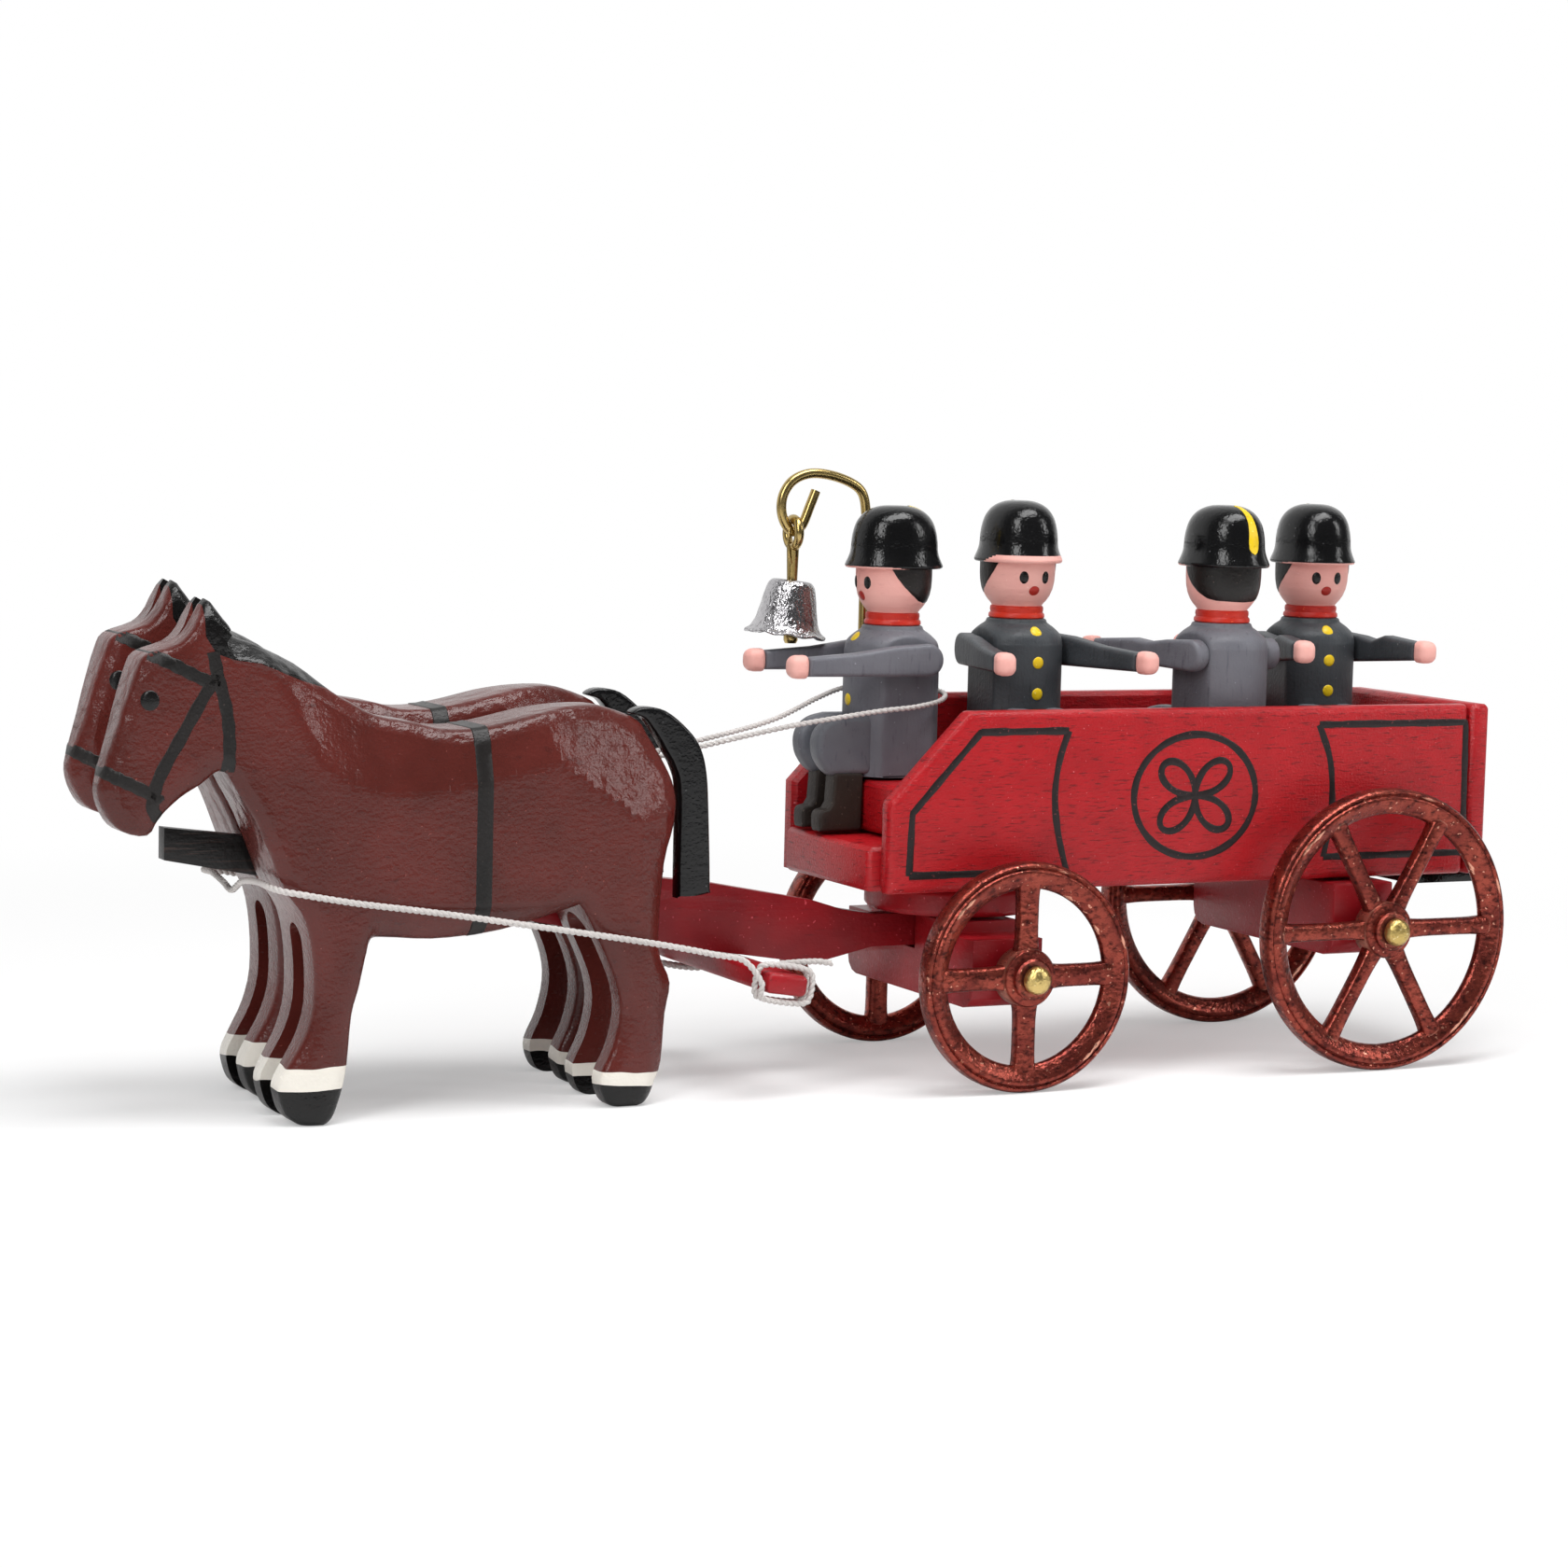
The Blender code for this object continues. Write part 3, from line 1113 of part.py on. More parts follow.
def leg_outline():
    """Returns the side outline of the thighs, trousers and boots."""
    outline = [(0.0, THIGH_HEIGHT)]
    outline += [(setback - KNEE_REACH, THIGH_HEIGHT * share) for setback, share in KNEE_CURVE]
    outline += [(setback - BOOT_TOE, up - SOLE_DROP) for setback, up in TOE_CURVE]
    return outline + [(-LEG_BACK, -SOLE_DROP), (-LEG_BACK, 0.0), (0.0, 0.0)]


def arm_outline(drop):
    """Returns the side outline of an arm: round shoulder, hand lower by a drop, sagging elbow."""
    shoulder = arc((SHOULDER_SETBACK, ARM_HEIGHT), SHOULDER_RADIUS, 85.0, -85.0, 6)
    palm = (-ARM_REACH + HAND_RADIUS, ARM_HEIGHT - drop)
    hand = arc(palm, HAND_RADIUS, -100.0, -260.0, 5)
    return shoulder + hand + [(-ELBOW_REACH, ARM_HEIGHT + SHOULDER_RADIUS - ELBOW_SAG)]


def fireman(name, place):
    """Builds one fireman on an empty: body, helmet, legs and two arms."""
    behind, side, seat, turn, splay, drop = place
    seat_place = (FRONT_AXLE_X + behind, side, seat)
    carrier = add_empty(name, seat_place, turn)
    body = add_object(name + "_body", fireman_body(), coat_paint(), carrier)
    add_object(name + "_helmet", fireman_helmet(), black_paint(), carrier)
    legs = plate_mesh(leg_outline(), 2 * LEG_HALF_WIDTH, "Y")
    legs = add_object(name + "_legs", legs, boot_paint(), carrier)
    torso_space = rod_mesh(TORSO_RADIUS + GAP, (0.0, 0.0, -GAP), (0.0, 0.0, THIGH_HEIGHT + TRIM),
                           BELL_SIDES)
    combine(legs, torso_space, "DIFFERENCE")
    slot = box_mesh((-KNEE_REACH - TRIM, -LEG_SLOT_HALF, -SOLE_DROP - TRIM),
                    (-TORSO_RADIUS - GAP - LEG_JOIN, LEG_SLOT_HALF, THIGH_HEIGHT + TRIM))
    combine(legs, slot, "DIFFERENCE")
    for hand, sign in (("right", 1), ("left", -1)):
        middle = sign * (ARM_INNER_Y + ARM_THICKNESS / 2)
        swing = Matrix.Rotation(math.radians(-sign * splay), 4, "Z")
        about = Matrix.Translation((SHOULDER_SETBACK, middle, 0.0))
        arm = plate_mesh(arm_outline(drop), ARM_THICKNESS, "Y", middle)
        arm.transform(about @ swing @ about.inverted())
        add_object(name + "_" + hand + "_arm", arm, coat_paint(), carrier)
        combine(body, arm_room(sign, splay), "DIFFERENCE")


def arm_room(sign, splay):
    """Returns the notch that an arm is glued into, turned with the arm's splay."""
    inner = ARM_INNER_Y - GAP
    outer = ARM_INNER_Y + ARM_THICKNESS + ARM_ROOM_MARGIN
    low, high = sorted((sign * inner, sign * outer))
    reach = TORSO_RADIUS + ARM_ROOM_MARGIN
    room = box_mesh((-reach, low, ARM_HEIGHT - SHOULDER_RADIUS - GAP),
                    (reach, high, ARM_HEIGHT + SHOULDER_RADIUS + GAP))
    middle = sign * (ARM_INNER_Y + ARM_THICKNESS / 2)
    swing = Matrix.Rotation(math.radians(-sign * splay), 4, "Z")
    about = Matrix.Translation((SHOULDER_SETBACK, middle, 0.0))
    room.transform(about @ swing @ about.inverted())
    return room


def build():
    """Builds the whole fire wagon."""
    global parts, cutters
    clear_scene()
    parts = make_collection(PART_NAME)
    cutters = make_collection(CUTTER_NAME)
    wagon_body()
    bolsters()
    turntable()
    axle_nails()
    wheels()
    draught_gear()
    horses()
    threads()
    bell()
    for name, place in CREW.items():
        fireman(name, place)
    carry(FRONT_CARRIAGE, add_empty("front_carriage", (FRONT_AXLE_X, 0.0, 0.0)))
    carry(BELL_PIECES, add_empty("bell_pivot", (BELL_X, hook_y(), BELL_PIVOT_Z)))


build()
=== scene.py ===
"""Looks of a horse-drawn fire wagon, a painted wooden miniature.

Each class below holds one sub-assembly: its sizes are fields, in metres, and its methods build the
surfaces and dress them. X runs to the rear of the wagon, Y to the driver's right hand and Z up.
"""
import logging
import math
from collections.abc import Callable
from dataclasses import dataclass, replace
from enum import Enum

import bmesh
import bpy
import numpy as np
from mathutils import Matrix, Vector
from mathutils.geometry import delaunay_2d_cdt

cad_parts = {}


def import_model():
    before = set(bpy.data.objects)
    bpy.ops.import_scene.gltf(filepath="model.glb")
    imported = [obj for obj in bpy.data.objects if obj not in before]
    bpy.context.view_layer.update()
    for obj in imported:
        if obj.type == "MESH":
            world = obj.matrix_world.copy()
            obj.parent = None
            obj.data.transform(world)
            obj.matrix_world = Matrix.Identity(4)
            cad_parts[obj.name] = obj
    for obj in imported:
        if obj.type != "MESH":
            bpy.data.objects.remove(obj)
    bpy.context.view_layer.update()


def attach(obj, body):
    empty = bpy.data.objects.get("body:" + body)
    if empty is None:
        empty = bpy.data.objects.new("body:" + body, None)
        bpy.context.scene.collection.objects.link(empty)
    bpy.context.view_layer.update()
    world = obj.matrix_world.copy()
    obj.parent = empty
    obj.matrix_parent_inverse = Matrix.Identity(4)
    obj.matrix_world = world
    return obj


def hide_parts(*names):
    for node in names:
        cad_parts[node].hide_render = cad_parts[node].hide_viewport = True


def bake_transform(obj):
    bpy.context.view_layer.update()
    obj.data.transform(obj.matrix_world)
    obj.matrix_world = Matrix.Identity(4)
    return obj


LOG = logging.getLogger("fire_wagon")
MM = 0.001
WAGON = "wagon"
CARRIAGE = "front_carriage"
FRONT_AXLE_X = 0.0162
NOSE_X = FRONT_AXLE_X - 0.0937
THREAD_RADIUS = 0.00035
# Places closer than this are welded, and edges that fold more than these degrees stay crisp
WELD = 1e-6
CRISP = 40.0
# Degrees of fold: below the first a solid's faces are joined, above the second its edges are rounded
FLAT = 1.0
ROUNDED = 28.0

Pair = tuple[float, float]
Place = tuple[float, float, float]
Tree = bpy.types.NodeTree
Socket = bpy.types.NodeSocket
# Points, one row each, and faces, each a row of point numbers
Surface = tuple[np.ndarray, list]


class Side(Enum):
    """The two sides of the wagon, with the sign of their Y."""

    NEAR = -1
    FAR = 1

    @property
    def word(self) -> str:
        """The side's word in the names of pieces."""
        return self.name.lower()


def hundredths(*rows: tuple[int, ...]) -> np.ndarray:
    """Turns rows of whole numbers, in hundredths of a millimetre, into metres."""
    return np.array(rows) / 100000


def linear(colour: str) -> tuple[float, float, float, float]:
    """Turns an sRGB hex colour into the linear colour that a shader takes.

    Args:
        colour: Six hex digits after a hash sign.

    Returns:
        Red, green, blue and alpha, from 0 to 1.
    """
    parts = np.array([int(colour[i:i + 2], 16) for i in (1, 3, 5)]) / 255
    curve = np.where(parts <= 0.04045, parts / 12.92, ((parts + 0.055) / 1.055) ** 2.4)
    return (*curve.tolist(), 1.0)


def add_node(tree: Tree, kind: str, inputs: dict | None = None, stops: tuple = (),
             **settings: object) -> bpy.types.Node:
    """Adds a shader node with its settings and links.

    A Mix node's share is its input 0, its colours are 6 and 7 and its colour comes out of output 2.

    Args:
        tree: The material's node tree.
        kind: The node's type, without its leading words.
        inputs: By the input's name or number, a socket to link, a node to link from its first
            output, or a value to set.
        stops: Positions and colours or greys, where the node has a colour ramp.
        settings: The node's own attributes.

    Returns:
        The new node.
    """
    node = tree.nodes.new("ShaderNode" + kind)
    for key, value in settings.items():
        setattr(node, key, value)
    for key, value in (inputs or {}).items():
        if isinstance(value, bpy.types.Node):
            value = value.outputs[0]
        if isinstance(value, Socket):
            tree.links.new(value, node.inputs[key])
        else:
            node.inputs[key].default_value = value
    for index, (place, tone) in enumerate(stops):
        elements = node.color_ramp.elements
        element = elements[index] if index < 2 else elements.new(place)
        element.position = place
        element.color = linear(tone) if isinstance(tone, str) else (tone, tone, tone, 1.0)
    return node


@dataclass(frozen=True)
class Finish:
    """A painted, cast or drawn finish, worked out from Object coordinates.

    Two tones of the colour wander over the piece, marks of a given size lie in it, such as brush
    strokes or grain, and specks of dust or chips are scattered on top. Real dust is finer than the
    specks, which are drawn as coarse as they need to be to show.
    """

    name: str
    slot: str
    base: str
    tone: str
    mark: str
    speck: str
    mark_size: Place = (0.002, 0.0003, 0.0003)
    mark_cut: float = 0.62
    mark_soft: float = 0.12
    speck_size: float = 0.00035
    speck_cut: float = 0.72
    speck_soft: float = 0.03
    patch_size: float = 0.006
    patch_cuts: Pair = (0.35, 0.65)
    roughness: float = 0.3
    roughness_swing: float = 0.1
    metallic: float = 0.0
    bump: float = 0.00003
    specular: float = 0.35
    worn: str = ""
    worn_cut: float = 0.52
    worn_soft: float = 0.05

    def pattern(self, tree: Tree, place: Socket, size: Place, detail: float) -> Socket:
        """Lays noise over the piece, with features of a real size along each axis.

        Args:
            tree: The material's node tree.
            place: Object coordinates.
            size: The features' size along X, Y and Z.
            detail: How many finer layers it has.

        Returns:
            The noise as a grey.
        """
        scaled = add_node(tree, "Mapping", {"Vector": place, "Scale": [1 / s for s in size]})
        return add_node(tree, "TexNoise", {"Vector": scaled, "Scale": 1.0,
                                           "Detail": detail, "Roughness": 0.6}).outputs[0]

    def paint(self, tree: Tree, place: Socket, colour: Socket) -> Socket:
        """Leaves the colour as it is; a finish with painted zones adds them here."""
        return colour

    def relief(self, tree: Tree, place: Socket, height: Socket) -> Socket:
        """Leaves the relief as it is; a finish with rougher zones adds to it here."""
        return height

    def material(self) -> bpy.types.Material:
        """Builds the material, or returns it if it is built already.

        Each layer of colour covers the one under it where its grey is above a cut.

        Returns:
            The material, under the finish's name.
        """
        if self.name in bpy.data.materials:
            return bpy.data.materials[self.name]
        made = bpy.data.materials.new(self.name)
        made.use_nodes = True
        tree = made.node_tree
        shader = tree.nodes["Principled BSDF"]
        shader.inputs["Metallic"].default_value = self.metallic
        if not self.metallic:
            shader.inputs["Specular IOR Level"].default_value = self.specular
        place = add_node(tree, "TexCoord").outputs["Object"]
        patch = self.pattern(tree, place, (self.patch_size,) * 3, 2.0)
        mark = self.pattern(tree, place, self.mark_size, 3.0)
        speck = self.pattern(tree, place, (self.speck_size,) * 3, 1.0)
        colour = add_node(tree, "ValToRGB", {0: patch},
                          tuple(zip(self.patch_cuts, (self.base, self.tone)))).outputs[0]
        layers = [(mark, self.mark_cut, self.mark_soft, self.mark),
                  (speck, self.speck_cut, self.speck_soft, self.speck)]
        if self.worn:
            ridge = add_node(tree, "NewGeometry").outputs["Pointiness"]
            layers.append((ridge, self.worn_cut, self.worn_soft, self.worn))
        for grey, cut, soft, tone in layers:
            cover = add_node(tree, "ValToRGB", {0: grey}, ((cut, 0.0), (cut + soft, 1.0)))
            colour = add_node(tree, "Mix", {0: cover, 6: colour, 7: linear(tone)},
                              data_type="RGBA").outputs[2]
        tree.links.new(self.paint(tree, place, colour), shader.inputs["Base Color"])
        rough = add_node(tree, "MapRange", {"Value": mark, "To Min": self.roughness,
                                            "To Max": self.roughness + self.roughness_swing})
        tree.links.new(rough.outputs[0], shader.inputs["Roughness"])
        height = add_node(tree, "Math", {0: mark, 1: speck}, operation="ADD").outputs[0]
        bump = add_node(tree, "Bump", {"Height": self.relief(tree, place, height),
                                       "Strength": 1.0, "Distance": self.bump})
        tree.links.new(bump.outputs[0], shader.inputs["Normal"])
        return made


# Lower edge of the painted mane, in distance behind the nose and height
MANE_EDGE = hundredths((940, 4620), (1040, 4460), (1220, 4400), (1450, 4370), (1850, 4210), (2160, 4120))


@dataclass(frozen=True)
class HorseEnamel(Finish):
    """Horse enamel with a black mane, and a white band and a black sole round each hoof.

    The bands stand higher on the fore legs, which lie ahead of a place along X.
    """

    fore_x: float = -0.048
    fore_white: float = 0.0056
    fore_black: float = 0.0034
    hind_white: float = 0.0034
    hind_black: float = 0.0021
    hoof_white: str = "#E9E4DA"
    hoof_black: str = "#0C0B0B"
    mane_black: str = "#0D0C0C"
    mane_end: float = 0.0250
    ramp_height: float = 0.06
    waver: float = 0.0008
    waver_size: Place = (0.0030, 0.0030, 0.006)
    lump_size: float = 0.0017
    lump_rise: float = 5.5
    facing: Pair = (0.99, 0.90)
    leg_top: Pair = (0.020, 0.026)
    leg_share: float = 0.2
    setback: float = 0.0
    stretch: float = 1.0

    def relief(self, tree: Tree, place: Socket, height: Socket) -> Socket:
        """Adds lumps where the surface doesn't face the side, because end grain drinks the paint.

        The lumps are lower on the legs.

        Args:
            tree: The material's node tree.
            place: Object coordinates.
            height: The relief so far.

        Returns:
            The relief with the lumps.
        """
        normal = add_node(tree, "SeparateXYZ", {0: add_node(tree, "TexCoord").outputs["Normal"]})
        side = add_node(tree, "Math", {0: normal.outputs[1]}, operation="ABSOLUTE")
        rough = add_node(tree, "MapRange", {"Value": side, "From Min": self.facing[0],
                                            "From Max": self.facing[1], "To Min": 0.0,
                                            "To Max": self.lump_rise})
        up = add_node(tree, "SeparateXYZ", {0: place}).outputs[2]
        body = add_node(tree, "MapRange", {"Value": up, "From Min": self.leg_top[0],
                                           "From Max": self.leg_top[1], "To Min": self.leg_share,
                                           "To Max": 1.0})
        rough = add_node(tree, "Math", {0: rough, 1: body}, operation="MULTIPLY")
        lumps = self.pattern(tree, place, (self.lump_size,) * 3, 0.6)
        return add_node(tree, "Math", {0: lumps, 1: rough, 2: height},
                        operation="MULTIPLY_ADD").outputs[0]

    def paint(self, tree: Tree, place: Socket, colour: Socket) -> Socket:
        """Paints the mane and the hooves.

        The mane is black above a line that a colour ramp holds, as shares of a height. A hoof is
        white below one height and black below a lower one, with a wavering edge.

        Args:
            tree: The material's node tree.
            place: Object coordinates.
            colour: The colour of the rest.

        Returns:
            The colour with the mane and the hooves.
        """
        start, end = MANE_EDGE[0][0], MANE_EDGE[-1][0]
        own = add_node(tree, "Mapping", {"Vector": place, "Location": (-(NOSE_X + self.setback), 0.0, 0.0),
                                         "Scale": (1.0, 1.0, 1 / self.stretch)})
        along = add_node(tree, "SeparateXYZ", {0: own})
        share = add_node(tree, "MapRange", {"Value": along, "From Min": start, "From Max": end})
        edge = add_node(tree, "ValToRGB", {0: share}, tuple(
            ((reach - start) / (end - start), z / self.ramp_height) for reach, z in MANE_EDGE))
        edge = add_node(tree, "Math", {0: edge, 1: self.ramp_height}, operation="MULTIPLY")
        mane = add_node(tree, "Math", {0: along.outputs[2], 1: edge}, operation="GREATER_THAN")
        for limit, test in ((start, "GREATER_THAN"), (self.mane_end, "LESS_THAN")):
            within = add_node(tree, "Math", {0: along, 1: limit}, operation=test)
            mane = add_node(tree, "Math", {0: mane, 1: within}, operation="MULTIPLY")
        colour = add_node(tree, "Mix", {0: mane, 6: colour, 7: linear(self.mane_black)},
                          data_type="RGBA").outputs[2]
        axes = add_node(tree, "SeparateXYZ", {0: place})
        fore = add_node(tree, "Math", {0: axes, 1: self.fore_x}, operation="LESS_THAN")
        waver = self.pattern(tree, place, self.waver_size, 0.0)
        waver = add_node(tree, "Math", {0: waver, 1: self.waver}, operation="MULTIPLY")
        height = add_node(tree, "Math", {0: axes.outputs[2], 1: waver}, operation="ADD")
        for tone, hind, rise in ((self.hoof_white, self.hind_white, self.fore_white - self.hind_white),
                                 (self.hoof_black, self.hind_black, self.fore_black - self.hind_black)):
            level = add_node(tree, "Math", {0: fore, 1: rise, 2: hind + self.waver / 2},
                             operation="MULTIPLY_ADD")
            below = add_node(tree, "Math", {0: height, 1: level},
                             operation="LESS_THAN")
            colour = add_node(tree, "Mix", {0: below, 6: colour, 7: linear(tone)},
                              data_type="RGBA").outputs[2]
        return colour


@dataclass(frozen=True)
class PoleEnamel(Finish):
    """Red enamel whose front end is brushed over with thin black, so that brown shows through."""

    black_x: float = -0.0555
    streak_size: Place = (0.006, 0.0004, 0.00025)
    streak_tones: tuple = ((0.56, "#151313"), (0.72, "#4A3630"))

    def paint(self, tree: Tree, place: Socket, colour: Socket) -> Socket:
        """Paints the front end in streaks along the pole.

        Args:
            tree: The material's node tree.
            place: Object coordinates.
            colour: The red behind the front end.

        Returns:
            The colour with the black end.
        """
        axes = add_node(tree, "SeparateXYZ", {0: place})
        front = add_node(tree, "Math", {0: axes, 1: self.black_x}, operation="LESS_THAN")
        streak = self.pattern(tree, place, self.streak_size, 3.0)
        brushed = add_node(tree, "ValToRGB", {0: streak}, self.streak_tones)
        return add_node(tree, "Mix", {0: front, 6: colour, 7: brushed},
                        data_type="RGBA").outputs[2]


# Gloss enamel brushed on sawn limewood: the grain telegraphs through as short dark dashes
RED_ENAMEL = Finish("red_enamel_on_sawn_wood", "red_paint", "#AE141C", "#9F1018", "#6E070E",
                    "#C85A60", mark_size=(0.0015, 0.0015, 0.00020), mark_cut=0.55, mark_soft=0.13,
                    speck_size=0.00028, speck_cut=0.735, roughness=0.24, roughness_swing=0.26,
                    bump=0.00006)
# The same enamel, darker and duller, in small soft marks, on the bolsters, the turntable and the swingletree
DARKER_RED = Finish("red_enamel_on_end_grain", "red_paint", "#9F1720", "#91131B", "#750C15",
                 "#C64C57", mark_size=(0.0009, 0.0014, 0.0004), roughness=0.28,
                 roughness_swing=0.2, bump=0.00003)
# One thin coat of it on the pole, with brush strokes along the pole; its deeper red is painted shade, for the
# shadow that the pole lies in
SHADED_POLE_RED = PoleEnamel("red_enamel_on_pole", "red_paint", "#8B121A", "#7A0F17", "#5C0A11",
                      "#BC4650", mark_size=(0.003, 0.0005, 0.0003), roughness=0.3, bump=0.00003)
# Red-brown gloss enamel over knife-cut wood, with faint brush marks and orange peel
HORSE_BROWN = HorseEnamel("chestnut_enamel", "horse_paint", "#5B241F", "#4D1E19", "#3F1613",
                          "#84443D", mark_size=(0.0014, 0.0010, 0.0006), mark_cut=0.6,
                          mark_soft=0.25, speck_cut=0.76, patch_size=0.009, roughness=0.17,
                          roughness_swing=0.16, bump=0.00005)
# Black gloss enamel, dipped or brushed thick, with settled dust
BLACK_GLOSS = Finish("black_gloss_enamel", "black_paint", "#0B0B0C", "#111112", "#060607",
                     "#6A6A6C", mark_size=(0.0011, 0.0011, 0.0008), speck_size=0.00028,
                     speck_cut=0.775, roughness=0.10, roughness_swing=0.12, bump=0.00003)
# Black enamel brushed thin over the brown: satin, with the brown warming it
HARNESS_BLACK = Finish("black_harness_enamel", "horse_paint", "#12100F", "#1B1716", "#080707",
                       "#3A3230", mark_size=(0.0008, 0.0008, 0.0008), roughness=0.32,
                       roughness_swing=0.2, bump=0.00003)
# Black lining drawn over the red: satin, with small chips where the red shows
LINE_BLACK = Finish("black_lining_enamel", "red_paint", "#151111", "#221517", "#0A0808",
                    "#5A2A2C", mark_size=(0.0007, 0.0007, 0.0004), speck_cut=0.70,
                    roughness=0.34, roughness_swing=0.2, bump=0.00003)
# Satin grey enamel on lathe-turned wood: fine upright and level streaks from the tool and brush
COAT_GREY = Finish("grey_coat_enamel", "coat_paint", "#6C6C73", "#606067", "#4F4F56",
                   "#8E8E95", mark_size=(0.0004, 0.0004, 0.0028), mark_cut=0.58, mark_soft=0.2,
                   speck_cut=0.77, roughness=0.38, roughness_swing=0.18, bump=0.000035)
COAT_DARK = replace(COAT_GREY, name="dark_grey_coat_enamel", base="#42464A", tone="#393D41",
                    mark="#2E3134", speck="#6E7276")
# Satin grey enamel on sawn wood: coarser brush strokes down the leg
TROUSER_GREY = Finish("grey_trouser_enamel", "coat_paint", "#696B71", "#5C5E65", "#4C4E55",
                      "#8D9098", mark_size=(0.0006, 0.0006, 0.0022), speck_cut=0.76,
                      roughness=0.36, roughness_swing=0.2, bump=0.00004)
# Matt brown-black enamel, rubbed paler in specks
BOOT_BROWN = Finish("black_brown_boot_enamel", "boot_paint", "#2B221C", "#231B17", "#181210",
                    "#4C4038", mark_size=(0.0005, 0.0005, 0.0014), roughness=0.5,
                    roughness_swing=0.2, bump=0.00004)
# Thin matt flesh enamel on turned end grain: level tool rings show faintly
SKIN_PINK = Finish("flesh_enamel", "coat_paint", "#EFB4AA", "#E8A69D", "#D8958D", "#F4C8C0",
                   mark_size=(0.0012, 0.0012, 0.00022), mark_cut=0.6, mark_soft=0.3,
                   speck_cut=0.78, roughness=0.45, bump=0.00002)
# Scarlet enamel laid on as the figure turned: level streaks
COLLAR_RED = Finish("scarlet_collar_enamel", "coat_paint", "#D2331C", "#B9241A", "#8E1815",
                    "#E8603C", mark_size=(0.0009, 0.0009, 0.0002), roughness=0.35, bump=0.00003)
# Drops of enamel from the tip of a stick: smooth and plain in colour
LIP_RED = Finish("lip_red_enamel", "coat_paint", "#AE2B22", "#9E241D", "#8A1D18", "#C4453A",
                 roughness=0.35)
DOT_BLACK = Finish("black_dot_enamel", "black_paint", "#0D0C0C", "#131212", "#080808",
                   "#2A2828", roughness=0.22)
YELLOW = Finish("yellow_enamel", "coat_paint", "#EDCB1C", "#E4BE18", "#C99F12", "#F6E26A",
                mark_size=(0.0006, 0.0006, 0.0004), roughness=0.3, bump=0.00003)
# Black enamel brushed down the nape: upright strokes under a soft gloss
HAIR_BLACK = Finish("black_hair_enamel", "coat_paint", "#120F0E", "#191412", "#0C0A09",
                    "#4A403B", mark_size=(0.0006, 0.0006, 0.0014), roughness=0.26,
                    roughness_swing=0.2, bump=0.00004)
# Cast white metal, copper plated and darkened: bright copper is rubbed back on the ridges
COPPER = Finish("antiqued_copper_casting", "copper", "#974639", "#75312A", "#3A1614", "#D0907A",
                mark_size=(0.0008, 0.0008, 0.0005), mark_cut=0.48, mark_soft=0.22,
                speck_size=0.0005, speck_cut=0.70, patch_size=0.003, roughness=0.20,
                roughness_swing=0.2, metallic=0.85, bump=0.00007, worn="#DDA088", worn_cut=0.55)
# Drawn brass wire and stamped brass: fine lines along the draw, slightly tarnished
BRASS = Finish("drawn_brass", "brass", "#BBA46C", "#B09860", "#A08850", "#C9B484",
               mark_size=(0.0016, 0.0016, 0.0024), mark_cut=0.58, mark_soft=0.4, speck_size=0.0007,
               speck_cut=0.86, roughness=0.22, roughness_swing=0.05, metallic=1.0, bump=0.000002)
# Brass nail heads, dented by the hammer: each dent catches the light
NAIL_BRASS = Finish("hammered_brass_nail", "brass", "#D3BA78", "#C2A865", "#9A8048", "#E8D8A4",
                    mark_size=(0.0005, 0.0005, 0.0005), mark_cut=0.58, roughness=0.25,
                    roughness_swing=0.2, metallic=1.0, bump=0.00008)
# Cheap cast bell with a rough nickel plate: bright, with upright ripples and dark pits
SILVER = Finish("rough_nickel_plate", "silver", "#BDBBBD", "#A19FA2", "#514E53", "#E8E6E8",
                mark_size=(0.0005, 0.0005, 0.0032), mark_cut=0.56, mark_soft=0.2,
                roughness=0.10, roughness_swing=0.2, metallic=1.0, bump=0.00012)
# Two-ply white cotton thread, matt and slightly fuzzy
COTTON = Finish("white_cotton_thread", "thread", "#CDC8C5", "#C2BDBA", "#A9A4A1", "#E2DFDD",
                mark_size=(0.00025, 0.00025, 0.00025), roughness=0.85, bump=0.00002)
# Bare limewood, split for pegs: pale and dull, with grain along the peg
BARE_WOOD = Finish("bare_limewood_peg", "plain_wood", "#C9A77C", "#BD996D", "#A37F55", "#DBC09A",
                   mark_size=(0.0003, 0.002, 0.0003), roughness=0.6)


def placed(name: str, data: bpy.types.ID) -> bpy.types.Object:
    """Makes an object out of its data and puts it in the scene.

    Args:
        name: The object's name.
        data: Its mesh, lamp or camera.

    Returns:
        The new object, at the origin.
    """
    thing = bpy.data.objects.new(name, data)
    bpy.context.scene.collection.objects.link(thing)
    return thing


def make_object(name: str, points: np.ndarray, faces: list, sharp: float = CRISP
                ) -> bpy.types.Object:
    """Puts a surface into a mesh, welds its seams and poles and turns its faces outwards.

    Args:
        name: The piece's name.
        points: Places, one row each.
        faces: Rows of point numbers.
        sharp: Edges that fold more than this many degrees stay crisp.

    Returns:
        The new object, at the origin.
    """
    mesh = bpy.data.meshes.new(name)
    mesh.from_pydata(points.tolist(), [], faces)
    work = bmesh.new()
    work.from_mesh(mesh)
    bmesh.ops.remove_doubles(work, verts=work.verts, dist=WELD)
    bmesh.ops.recalc_face_normals(work, faces=work.faces)
    work.to_mesh(mesh)
    work.free()
    mesh.shade_smooth()
    mesh.set_sharp_from_angle(angle=math.radians(sharp))
    return placed(name, mesh)


